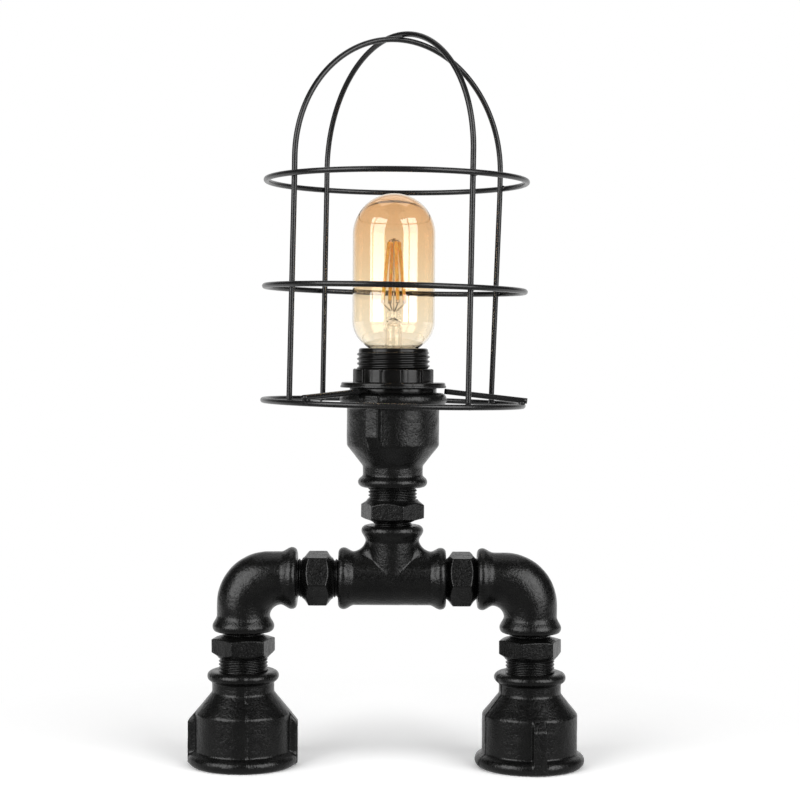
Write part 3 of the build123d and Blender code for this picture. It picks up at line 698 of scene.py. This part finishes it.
def roughen(piece):
    """Give a casting its slow unevenness."""
    size, height = 5.0, 0.1
    mesh = piece.data
    points = np.empty(len(mesh.vertices) * 3)
    normals = np.empty(len(mesh.vertices) * 3)
    mesh.vertices.foreach_get("co", points)
    mesh.vertices.foreach_get("normal", normals)
    points = points.reshape(-1, 3)
    lifts = [noise.noise(Vector(point) / (size * MM)) * height * MM for point in points]
    points += normals.reshape(-1, 3) * np.array(lifts)[:, None]
    mesh.vertices.foreach_set("co", points.ravel())
    mesh.update()


def tee_piece(name):
    """Tee with its branch up; the branch meets the run in a V-shaped crease with filleted sides."""
    branch_r = 14.05
    crotch, crease = 9.5, 0.4          # widths of the blend at the sides and in front
    crease_end = 0.55                  # how far sideways the crease stays sharp
    mouths = ((-1, 0, 0), (1, 0, 0), (0, 0, 1))
    skin_size, cutter_size = 0.34, 0.9
    nudge, rounds, farthest = 0.05, 4, 3.0     # for moving the skin's points onto the shape
    distances = np.linspace(0, flare_end, 200)
    rises = np.array([bead_rise(d) for d in distances])

    def run_r(x):
        return fitting_body_r + np.interp(fitting_reach - np.abs(x), distances, rises)

    def up_r(z):
        full = fitting_bead_r - fitting_body_r
        rise = np.interp(fitting_reach - z, distances, rises)
        return branch_r + rise * (fitting_bead_r - branch_r) / full

    def outside(p):
        """Distance of many points outside the body, blended where run and branch cross."""
        x, y, z = p[:, 0] - tee_x, p[:, 1], p[:, 2] - arm_z
        run_far = np.hypot(y, z) + 1e-9
        up_far = np.hypot(x, y) + 1e-9
        run = run_far - run_r(x)
        branch = np.maximum(up_far - up_r(z), -z - 3)
        sideways = 1 - y * y / (run_far * up_far)
        square = np.clip((sideways - crease_end) / (1 - crease_end), 0, 1)
        width = crotch * square * square * (3 - 2 * square) + crease
        share = np.maximum(0, width - np.abs(run - branch)) / width
        return np.minimum(run, branch) - share * share * width / 4

    def rod(way, start, end, radius, steps):
        """Round bar from the tee's middle, between two distances along a direction."""
        centre, way = Vector((tee_x, 0, arm_z)), Vector(way)
        low, high = centre + way * start, centre + way * end
        return swept("rod", between(low, high, steps), radius, sides=64)

    right, up = mouths[1:]
    pieces = [
        rod(right, -fitting_reach, fitting_reach, fitting_body_r, 40),
        rod(up, 0, fitting_reach, branch_r, 40),
    ]
    for way in mouths:
        pieces.append(rod(way, fitting_reach, fitting_reach - fitting_bead, fitting_bead_r - 0.4, 12))
    body = join(name, pieces)
    voxel_remesh(body, skin_size)
    p = np.empty(len(body.data.vertices) * 3)
    body.data.vertices.foreach_get("co", p)
    p = p.reshape(-1, 3) / MM
    side_reach = np.abs(p[:, 0] - tee_x)
    up_reach = p[:, 2] - arm_z
    on_face = np.maximum(side_reach, up_reach) > fitting_reach - 0.3
    for _ in range(rounds):
        d = outside(p)
        slope = np.stack([(outside(p + nudge * way) - d) / nudge for way in np.eye(3)], axis=1)
        slope[on_face & (side_reach > up_reach), 0] = 0
        slope[on_face & (side_reach <= up_reach), 2] = 0
        steep = np.maximum((slope ** 2).sum(axis=1), 0.05)
        move = np.clip(d / steep, -farthest, farthest)
        move[on_face & (d < -1.0)] = 0
        p -= slope * move[:, None]
    body.data.vertices.foreach_set("co", (p * MM).ravel())
    body.data.update()
    bore_r = half_inch_r + thread_fit
    cutters = [rod(way, fitting_reach + 1, fitting_reach - mouth_depth, bore_r, 1) for way in mouths]
    cutters += [rod(right, -20, 20, passage_r, 1), rod(up, 0, 20, passage_r, 1)]
    cutter = join("cutter", cutters)
    voxel_remesh(cutter, cutter_size)
    cut = body.modifiers.new("cut", "BOOLEAN")
    cut.operation = "DIFFERENCE"
    cut.object = cutter
    cut.solver = "FAST"
    apply_modifiers(body)
    bpy.data.objects.remove(cutter)
    smooth_faces(body.data)
    roughen(body)
    return body


foot_radii = (19.4, 16.8, 25.8, 29.7)
head_radii = (18.7, 16.2, 24.9, 28.9)
wide_end, narrow_end = 16.0, 13.0      # lengths of a reducing nipple's threads
reducing_nipple = {
    "hexagon": 30.0, "shoulders": (3.2, 2.4), "flat": 7.0, "bores": (10.7, 8.0),
    "ends": ((three_quarter_r, wide_end), (half_inch_r, narrow_end)),
}
arm_end = 13.5
arm_nipple = {
    "hexagon": 26.4, "shoulders": (3.8, 3.8), "flat": 9.4, "bores": (8.0, 8.0),
    "ends": ((half_inch_r, arm_end), (half_inch_r, arm_end)),
}
for side, toward, grip_turn, seam_turn, hexagon_turn in (
    ("left", 1, 0.0, -80.7, 13.6), ("right", -1, -82.0, 200.0, 11.0),
):
    down = Stand((leg_x[side], 0, foot_top), axis=(0, 0, -1))
    foot = socket_piece(f"foot_{side}_casting", down, foot_radii, radians(-grip_turn), radians(-seam_turn))
    finish_iron(foot, f"foot_{side}")
    low = box_mm(f"foot_nipple_{side}")[0].z + wide_end
    corner = radians(hexagon_turn)
    upright = Stand((leg_x[side], 0, low), zero=(cos(corner), sin(corner), 0))
    nipple = nipple_piece(f"foot_nipple_{side}_turned", upright, (7.4, 2.0), **reducing_nipple)
    finish_iron(nipple, f"foot_nipple_{side}")
    elbow = elbow_piece(f"elbow_{side}_casting", leg_x[side], toward)
    finish_iron(elbow, f"elbow_{side}")

corner = radians(9.0)
for side in ("left", "right"):
    low = middle(f"arm_nipple_{side}", 0) - 8.5
    lying = Stand((low, 0, arm_z), axis=(1, 0, 0), zero=(0, -cos(corner), -sin(corner)))
    nipple = nipple_piece(f"arm_nipple_{side}_turned", lying, (3.4, 3.4), **arm_nipple)
    finish_iron(nipple, f"arm_nipple_{side}")

finish_iron(tee_piece("tee_casting"), "tee")

neck_high = box_mm("neck_nipple")[1].z - wide_end
corner = radians(-10.0)
hanging = Stand((tee_x, 0, neck_high), axis=(0, 0, -1), zero=(cos(corner), sin(corner), 0))
neck = nipple_piece("neck_nipple_turned", hanging, (6.8, 2.2), **reducing_nipple)
finish_iron(neck, "neck_nipple")

upward = Stand((tee_x, 0, head_bottom))
head = socket_piece("head_casting", upward, head_radii, radians(-113.5), radians(160.0), 7.2)
finish_iron(head, "head_socket")


# ---------------- lampholder
holder_axis = Stand((tee_x, 0, 0))


def skirt_piece(name):
    """Threaded skirt of the lampholder with the collar that stands on the head."""
    crest_r, root_r, pitch = 19.7, 18.75, 2.5
    mouth_r, bore_r, lower_r, collar_r = 14.6, 15.4, 19.0, 23.5
    lip = holder_rim - 1.5
    thread_start, thread_end = collar_top + 1.2, holder_rim - 1.6
    outside = outline(
        (root_r, collar_top, 0), (root_r, holder_rim, 1.3), (mouth_r, holder_rim, 0.7),
        (mouth_r, lip, 0), closed=False, longest=0.25, steps=6,
    )
    inside = outline(
        (bore_r, lip, 0), (bore_r, skirt_bottom, 0.3), (lower_r, skirt_bottom, 0.5),
        (lower_r, head_top, 0), (collar_r, head_top, 0.3), (collar_r, collar_top, 0.5),
        (root_r + 0.4, collar_top, 0), closed=False, longest=4.0,
    )

    def shape(turn, r, h):
        if abs(r - root_r) < 0.02 and thread_start < h < thread_end:
            wave = winding(turn, h, pitch)
            rise = smooth_step(0.08, 0.42, 0.5 - abs(wave - 0.5))
            fade = smooth_step(thread_start, thread_start + 1.4, h)
            fade *= 1 - smooth_step(thread_end - 1.4, thread_end, h)
            return root_r + (crest_r - root_r) * rise * fade, h
        return r, h

    return turned(name, holder_axis, outside + inside, 180, shape)


def shade_ring_piece(name):
    """Screwed shade ring: a flange below and a wall with twelve grip grooves."""
    low, high = box_mm("shade_ring")
    flange_top = low.z + 2.8
    bore_r, wall_r, flange_r = 19.8, 21.8, 28.2
    profile = outline(
        (bore_r, low.z, 0.3), (flange_r, low.z, 0.7), (flange_r, flange_top, 0.9),
        (wall_r, flange_top, 0.5), (wall_r, high.z, 0.8), (bore_r, high.z, 0.4),
        longest=0.5, steps=5,
    )
    pitch, first = 2 * pi / 12, radians(13.6)
    groove_depth, groove_floor, groove_half = 1.15, 0.45, 0.9

    def shape(turn, r, h):
        if wall_r - 0.9 < r < wall_r + 0.3 and h > flange_top + 0.2:
            across = ((turn - first + pitch / 2) % pitch - pitch / 2) * wall_r
            depth = groove_depth * (1 - smooth_step(groove_floor, groove_half, abs(across)))
            depth *= 1 - smooth_step(high.z - 1.2, high.z - 0.2, h) * 0.2
            return r - depth, h
        return r, h

    return turned(name, holder_axis, profile, 432, shape)


finish_piece(skirt_piece("lampholder_skirt_moulded"), "stand", "black_plastic", "lampholder_skirt")
finish_piece(shade_ring_piece("shade_ring_moulded"), "shade_ring", "black_plastic", "shade_ring")

# ---------------- wire cage
wire = 3.0
wire_sides = 20
weld_gap = 0.05
arch_r = 67.0
cage_ring_r = arch_r + wire + weld_gap
cage_lean = 0.65
ring_leans = {"bottom": 1.0, "middle": 1.0, "top": 0.25}
arch_legs = {
    "lower": ((35.0, 31.0), (216.7, 218.1)),
    "upper": ((126.9, 126.5), (305.2, 305.5)),
}
arch_top = 391.0
knee_drop, knee_round = 12.0, 250.0
bottom_ring_z = collar_top - 8.1
top_ring_z = arch_top - arch_r - 8.5
middle_ring_z = bottom_ring_z + 0.514 * (top_ring_z - bottom_ring_z)
spoke_turns = (231.0, 351.0, 111.0)


def leaning_axis(lean):
    """Upright direction that leans to the right by some degrees."""
    return Vector((sin(radians(lean)), 0, cos(radians(lean))))


def cage_point(turn, radius, height, lean=cage_lean, lift=0.0):
    """Point of the leaning cage, on a level that may lean by itself and be lifted square to it."""
    tilt, turn = radians(lean), radians(turn)
    out = Vector((cos(tilt) * cos(turn), sin(turn), -sin(tilt) * cos(turn)))
    centre = Vector((tee_x, 0, collar_top)) + leaning_axis(cage_lean) * (height - collar_top)
    return centre + out * radius + leaning_axis(lean) * lift


def arch_line(name):
    """Centre line of an arch: up one leg, round a slight knee, over the bend and down."""
    rise = 0 if name == "lower" else wire + weld_gap
    up_way = leaning_axis(cage_lean)
    feet = [cage_point(low, arch_r, bottom_ring_z - wire / 4) for low, high in arch_legs[name]]
    bends = [cage_point(high, arch_r, arch_top - arch_r + rise) for low, high in arch_legs[name]]
    legs = []
    for foot, bend in zip(feet, bends):
        knee = bend - up_way * knee_drop
        rounded = arc_points(foot, knee, bend, knee_round, 8)
        first = Vector(rounded[0])
        legs.append(between(foot, first, 40)[:-1] + [Vector(p) for p in rounded] + [bend])
    centre = (bends[0] + bends[1]) / 2
    half = bends[0] - centre
    turns = [pi * k / 96 for k in range(97)]
    bow = [centre + half * cos(turn) + up_way * half.length * sin(turn) for turn in turns]
    return legs[0][:-1] + bow + legs[1][-2::-1], legs


def weld(a, b, size):
    """Small bead of weld metal lying between two touching wires, from one point to another."""
    metal = swept("weld", between(a, b, 8), 1.0, sides=12)
    middle_point = a.lerp(b, 0.5)
    for vertex in metal.data.vertices:
        p = vertex.co / MM
        along = (p - middle_point).dot((b - a).normalized()) / (b - a).length * 2
        centre = middle_point + (b - a) / 2 * along
        swell = sqrt(max(0.02, 1 - along * along)) * size
        swell *= 1 + 0.18 * noise.noise(p * 0.9)
        vertex.co = (centre + (p - centre) * swell) * MM
    return metal


def level_with(leg, height):
    """Point of a leg's centre line at a height."""
    for low, high in zip(leg, leg[1:]):
        if low.z <= height <= high.z:
            return low.lerp(high, (height - low.z) / (high.z - low.z))
    return leg[0]


welds = []
legs = []
for name in arch_legs:
    line, pair = arch_line(name)
    legs += pair
    cage_arch = swept(f"cage_arch_{name}_wire", line, wire / 2, sides=wire_sides)
    finish_piece(cage_arch, "stand", "black_wire", f"cage_arch_{name}")

for name, height in (("bottom", bottom_ring_z), ("middle", middle_ring_z), ("top", top_ring_z)):
    steps, lean = 180, ring_leans[name]
    centres = [cage_point(360 * k / steps, cage_ring_r, height, lean) for k in range(steps)]
    cage_ring = swept(f"cage_ring_{name}_wire", centres, wire / 2, sides=wire_sides, closed=True)
    finish_piece(cage_ring, "stand", "black_wire", f"cage_ring_{name}")
    for leg in legs:
        inner = level_with(leg, height)
        turn = degrees(atan2(inner.y, inner.x - tee_x))
        outer = cage_point(turn, cage_ring_r, height, lean)
        inner = level_with(leg, outer.z)
        over = (outer - inner) * 0.13
        welds.append(weld(inner - over, outer + over, 1.7))

spoke_drop = 0.35              # below the shade ring's flange
spoke_z = box_mm("shade_ring")[0].z - spoke_drop - wire / 2
hub_low, hub_high = collar_top, collar_top + 1.2
hub_bore_r, hub_r = 19.7, 28.6
hub_parts = [turned("washer", holder_axis, outline(
    (hub_bore_r, hub_low, 0.2), (hub_r, hub_low, 0.4), (hub_r, hub_high, 0.4),
    (hub_bore_r, hub_high, 0.2), longest=2.0), 144)]
lean = ring_leans["bottom"]
for turn in spoke_turns:
    out = Vector((cos(radians(turn)), sin(radians(turn)), 0))
    inner_end = Vector((tee_x, 0, spoke_z)) + out * 28.0
    reach = cage_point(turn, cage_ring_r, bottom_ring_z, lean, wire + weld_gap) - inner_end
    outer_end = inner_end + reach * (1 + 2.5 / reach.length)
    hub_parts.append(swept("spoke", between(inner_end, outer_end, 24), wire / 2, sides=wire_sides))
    ends = [
        cage_point(turn, cage_ring_r + off, bottom_ring_z, lean, (wire + weld_gap) / 2)
        for off in (-2.2, 1.6)
    ]
    welds.append(weld(*ends, 1.6))
finish_piece(join("cage_hub_wire", hub_parts), "stand", "black_wire", "cage_hub")
finish_piece(join("cage_welds", welds), "stand", "black_wire")

# ---------------- bulb
glass = 0.8
bulb_r = 22.25
bulb_length = bulb_top - bulb_foot
bulb_neck_r = 12.6
bulb_neck_height = 26.4
bulb_shoulder = 41.5
neck_low = 14.0                # lower end of the glass, inside the cap
bulb_axis = Stand((tee_x, 0, bulb_foot))


def bulb_wall(offset):
    """Outline of the glass from the neck's lower end to the dome, `offset` inside the outer face."""
    width = bulb_r - bulb_neck_r
    rise = bulb_shoulder - bulb_neck_height
    flare_r = (width * width + rise * rise) / (2 * width)
    sweep = acos((flare_r - width) / flare_r)
    radius = bulb_r - offset
    points = [(bulb_neck_r - offset, neck_low)]
    for k in range(25):
        turn = sweep * (1 - k / 24)
        r = bulb_r - flare_r + (flare_r - offset) * cos(turn)
        points.append((r, bulb_shoulder - (flare_r - offset) * sin(turn)))
    dome_z = bulb_length - bulb_r
    points += [(radius, bulb_shoulder + (dome_z - bulb_shoulder) * k / 12) for k in range(1, 12)]
    for k in range(41):
        turn = pi / 2 * k / 40
        points.append((max(1e-4, radius * cos(turn)), dome_z + radius * sin(turn)))
    return points


def bulb_glass_piece(name):
    """Blown tube with a domed end and a drawn-in neck."""
    return turned(name, bulb_axis, bulb_wall(0) + bulb_wall(glass)[::-1], 160)


def cap_piece(name):
    """E27 screw cap with its rolled thread."""
    crest_r, root_r, pitch, wall = 13.05, 12.15, 3.63, 0.3
    hole_r, low, high = 9.5, 5.4, 25.6
    profile = outline(
        (hole_r, low, 0.1), (root_r, low, 0.8), (root_r, high - 0.8, 0.4), (crest_r, high, 0.2),
        (crest_r - wall, high, 0.1), (root_r - wall, high - 0.8, 0.3),
        (root_r - wall, low + wall, 0.5), (hole_r, low + wall, 0.1), longest=0.3,
    )

    def shape(turn, r, h):
        if r > root_r - wall - 0.05 and low + 1.0 < h < high - 1.6:
            wave = winding(turn, h, pitch)
            fade = smooth_step(low + 1.0, low + 3.0, h) * (1 - smooth_step(high - 3.0, high - 1.6, h))
            return r + (crest_r - root_r) * (0.5 - 0.5 * cos(2 * pi * wave)) * fade, h
        return r, h

    return turned(name, bulb_axis, profile, 120, shape)


def stem_piece(name):
    """Flared glass stem with its exhaust tube and flattened pinch."""
    profile = outline(
        (11.4, 15.0, 0), (11.4, 15.8, 0), (5.3, 20.0, 3.0), (4.5, 22.0, 1.5), (4.5, 39.5, 1.5),
        (2.4, 43.2, 1.5), (2.25, 47.0, 0.8), (0.001, 47.0, 0), (0.001, 40.0, 0), (3.7, 39.0, 0.8),
        (3.7, 22.0, 1.0), (4.5, 19.2, 2.0), (9.8, 15.0, 0), longest=1.0, steps=4,
    )

    def shape(turn, r, h):
        pinch = smooth_step(40.5, 44.0, h)
        wide, thin = 1 + 0.75 * pinch, 1 - 0.45 * pinch
        drawn = 1 + 0.03 * noise.noise(Vector((turn, h * 0.4, 0)))
        return r * hypot(wide * cos(turn), thin * sin(turn)) * drawn, h

    return turned(name, Stand((tee_x, 0, bulb_foot), zero=(1, 0.3, 0)), profile, 96, shape)


def bulb_place(turn, radius, height):
    """Point of the bulb: angle in degrees, distance from the axis, height above its foot."""
    return bulb_axis.point(radians(turn), radius, height)


filament_turns = (20.0, 110.0, 200.0, 290.0)
filament_low, filament_high = 51.5, 84.0
filament_low_r, filament_high_r = 6.4, 2.9


def filament_piece(name):
    """Four coated filament sticks, slightly lumpy, leaning together at the top."""
    stick_r = 1.1
    sticks = []
    for index, turn in enumerate(filament_turns):
        low = bulb_place(turn, filament_low_r, filament_low)
        high = bulb_place(turn, filament_high_r, filament_high)
        stick = swept("stick", between(low, high, 90), stick_r, sides=20)
        along = (high - low).normalized()
        for vertex in stick.data.vertices:
            p = vertex.co / MM
            travel = (p - low).dot(along)
            centre = low + along * travel
            left = (high - low).length - travel
            ends = smooth_step(-0.1, 1.0, travel) * smooth_step(-0.1, 1.0, left)
            lump = 0.90 + 0.08 * noise.noise(Vector((index * 7, travel / 1.3, 0)))
            vertex.co = (centre + (p - centre) * lump * (0.7 + 0.3 * ends)) * MM
        sticks.append(stick)
    return join(name, sticks)


def lead_piece(name):
    """Support wire, the welded tips of the filaments and the wires up from the pinch."""
    lead_r = 0.4
    wires = []

    def lead(points):
        wires.append(swept("lead", points, lead_r, sides=12))

    lead([bulb_place(0, 0, 46.0 + (filament_high - 44.5) * k / 12) for k in range(13)])
    for turn in filament_turns:
        tip = bulb_place(turn, filament_high_r, filament_high + lead_r)
        crown = bulb_place(turn, 0.2, filament_high + 1.6)
        lead(between(crown, tip, 6))
        start = bulb_place(turn, 1.3, 46.6)
        end = bulb_place(turn, filament_low_r, filament_low - lead_r)
        bend = start.lerp(end, 0.5) + Vector((0, 0, -0.6))
        shares = [k / 12 for k in range(13)]
        lead([start.lerp(bend, share).lerp(bend.lerp(end, share), share) for share in shares])
        clip_low = bulb_place(turn, filament_low_r, filament_low - 0.6)
        clip_high = bulb_place(turn, filament_low_r - 0.2, filament_low + 1.2)
        wires.append(swept("clip", between(clip_low, clip_high, 4), 1.05, sides=12))
    return join(name, wires)


finish_piece(bulb_glass_piece("bulb_glass_blown"), "bulb", "amber_glass", "bulb_glass")
finish_piece(cap_piece("bulb_cap_rolled"), "bulb", "cap_brass", "bulb_cap")
finish_piece(stem_piece("bulb_stem_drawn"), "bulb", "clear_glass", "bulb_stem")
finish_piece(filament_piece("bulb_filament_sticks"), "bulb", "filament", "bulb_filaments")
finish_piece(lead_piece("bulb_leads"), "bulb", "lead_wire", "bulb_lead_wires")

# ---------------- cable entry
gland_low, gland_high = box_mm("cable_grommet")
gland_z = (gland_low.z + gland_high.z) / 2
inner_end, outer_end = gland_low.y, gland_high.y
cable_r, inner_lip_r, waist_r, outer_lip_r, lip_width = 3.5, 5.8, 5.0, 7.5, 2.0
grommet = turned(
    "cable_grommet_moulded", Stand((leg_x["left"], 0, gland_z), axis=(0, 1, 0)),
    outline(
        (cable_r, inner_end, 0.4), (inner_lip_r, inner_end, 0.6),
        (inner_lip_r, inner_end + lip_width, 0.3), (waist_r, inner_end + lip_width, 0.2),
        (waist_r, outer_end - lip_width, 0.2), (outer_lip_r, outer_end - lip_width, 0.4),
        (outer_lip_r, outer_end, 1.1), (cable_r, outer_end, 0.8), longest=0.8),
    72)
finish_piece(grommet, "stand", "black_rubber", "cable_grommet")

# ---------------- finishes of the CAD nodes that stay
node_slots = {row["node"]: row["material_slot"] for row in frame["record"]["subparts"]}
for node, piece in frame["nodes"].items():
    material = materials[node_slots[node]]
    if not piece.data.materials:
        piece.data.materials.append(material)
    for index in range(len(piece.data.materials)):
        piece.data.materials[index] = material

# ---------------- floor, light and camera
# Floor: paper that shows the shadow near the feet and is plain white further out. Reflections see
# it white behind the lamp and dimmer towards the room in front. A ray through glass also counts as
# glossy, so it is left out of the reflections.
paper_grey, paper_white = (0.85, 0.85, 0.85), (1.2, 1.2, 1.2)
shadow_reach = 0.25
floor_paint = Paint("floor", paper_grey, 0.7, Specular_IOR_Level=0.0)
rays, seen = floor_paint.rays()
floor_paint.colour(floor_paint.mix(seen, paper_grey, paper_white))
spot = floor_paint.node("Mapping", Vector=floor_paint.place, Scale=(1 / shadow_reach, 1 / shadow_reach, 0))
far = floor_paint.node("VectorMath")
far.operation = "LENGTH"
floor_paint.put(far.inputs[0], spot.outputs["Vector"])
surface = floor_paint.shader.outputs["BSDF"]
for share, level in (
    (floor_paint.math("MULTIPLY", floor_paint.spread(far.outputs["Value"], 0.55, 1.2), seen), 1.0),
    (
        floor_paint.math("GREATER_THAN", rays["Is Glossy Ray"], rays["Is Transmission Ray"]),
        floor_paint.spread(floor_paint.axis(floor_paint.place, "Y"), -0.1, 0.2, 0.2, 1.0),
    ),
):
    paper = floor_paint.node("Emission", Strength=level)
    blend = floor_paint.node("MixShader")
    for socket, source in zip(blend.inputs, (share, surface, paper.outputs["Emission"])):
        floor_paint.put(socket, source)
    surface = blend.outputs["Shader"]
floor_paint.put(floor_paint.tree.nodes["Material Output"].inputs["Surface"], surface)
floor_mesh = bpy.data.meshes.new("floor")
floor_mesh.from_pydata([(-6, -6, 0), (6, -6, 0), (6, 6, 0), (-6, 6, 0)], [], [(0, 1, 2, 3)])
floor_mesh.materials.append(floor_paint.material)
new_object("floor", floor_mesh)


def soft_light(name, place, target, width, height, power):
    """Rectangular studio light that faces a target; sizes in metres, power in watts."""
    light = bpy.data.lights.new(name, "AREA")
    light.shape = "RECTANGLE"
    light.size = width
    light.size_y = height
    light.energy = power
    lamp = new_object(name, light)
    lamp.location = place
    lamp.rotation_euler = (Vector(target) - Vector(place)).to_track_quat("-Z", "Y").to_euler()


lamp_middle = (0, 0, 0.2)
for side, way in (("left", -1), ("right", 1)):
    soft_light(f"softbox_{side}", (way, -0.9, 0.7), lamp_middle, 1.15, 1.25, 19)
soft_light("top_light", (0, 0.5, 1.5), lamp_middle, 1.2, 1.0, 3)

# The studio: white paper behind the lamp, a dark room behind the camera, and a plain fill
fill, dark_room = 0.25, 0.04
world = bpy.data.worlds.new("studio")
world.use_nodes = True
studio = Nodes(world.node_tree)
studio.tree.nodes.clear()
rays, seen = studio.rays()
behind = studio.axis(studio.node("TexCoord").outputs["Generated"], "Y")
room = studio.spread(behind, 0.5, 1.0, dark_room, 1.0, "SMOOTHSTEP")
strength = studio.node("Mix", Factor=rays["Is Glossy Ray"], A=fill, B=room).outputs["Result"]
white = studio.node("Background", Color=(1, 1, 1, 1), Strength=studio.math("MAXIMUM", strength, seen))
studio.node("OutputWorld", Surface=white.outputs["Background"])

scene = bpy.context.scene
scene.world = world
scene.view_settings.view_transform = "Standard"
camera_data = bpy.data.cameras.new("camera")
camera_data.sensor_width = 36
camera_data.lens = 83.25
camera = new_object("camera", camera_data)
camera.location = (0.0064, -0.999, 0.2239)
pitch_down, roll = radians(1.49), radians(0.35)
aim = Matrix.Rotation(pi / 2 - pitch_down, 3, "X") @ Matrix.Rotation(roll, 3, "Z")
camera.rotation_euler = aim.to_euler()
scene.camera = camera
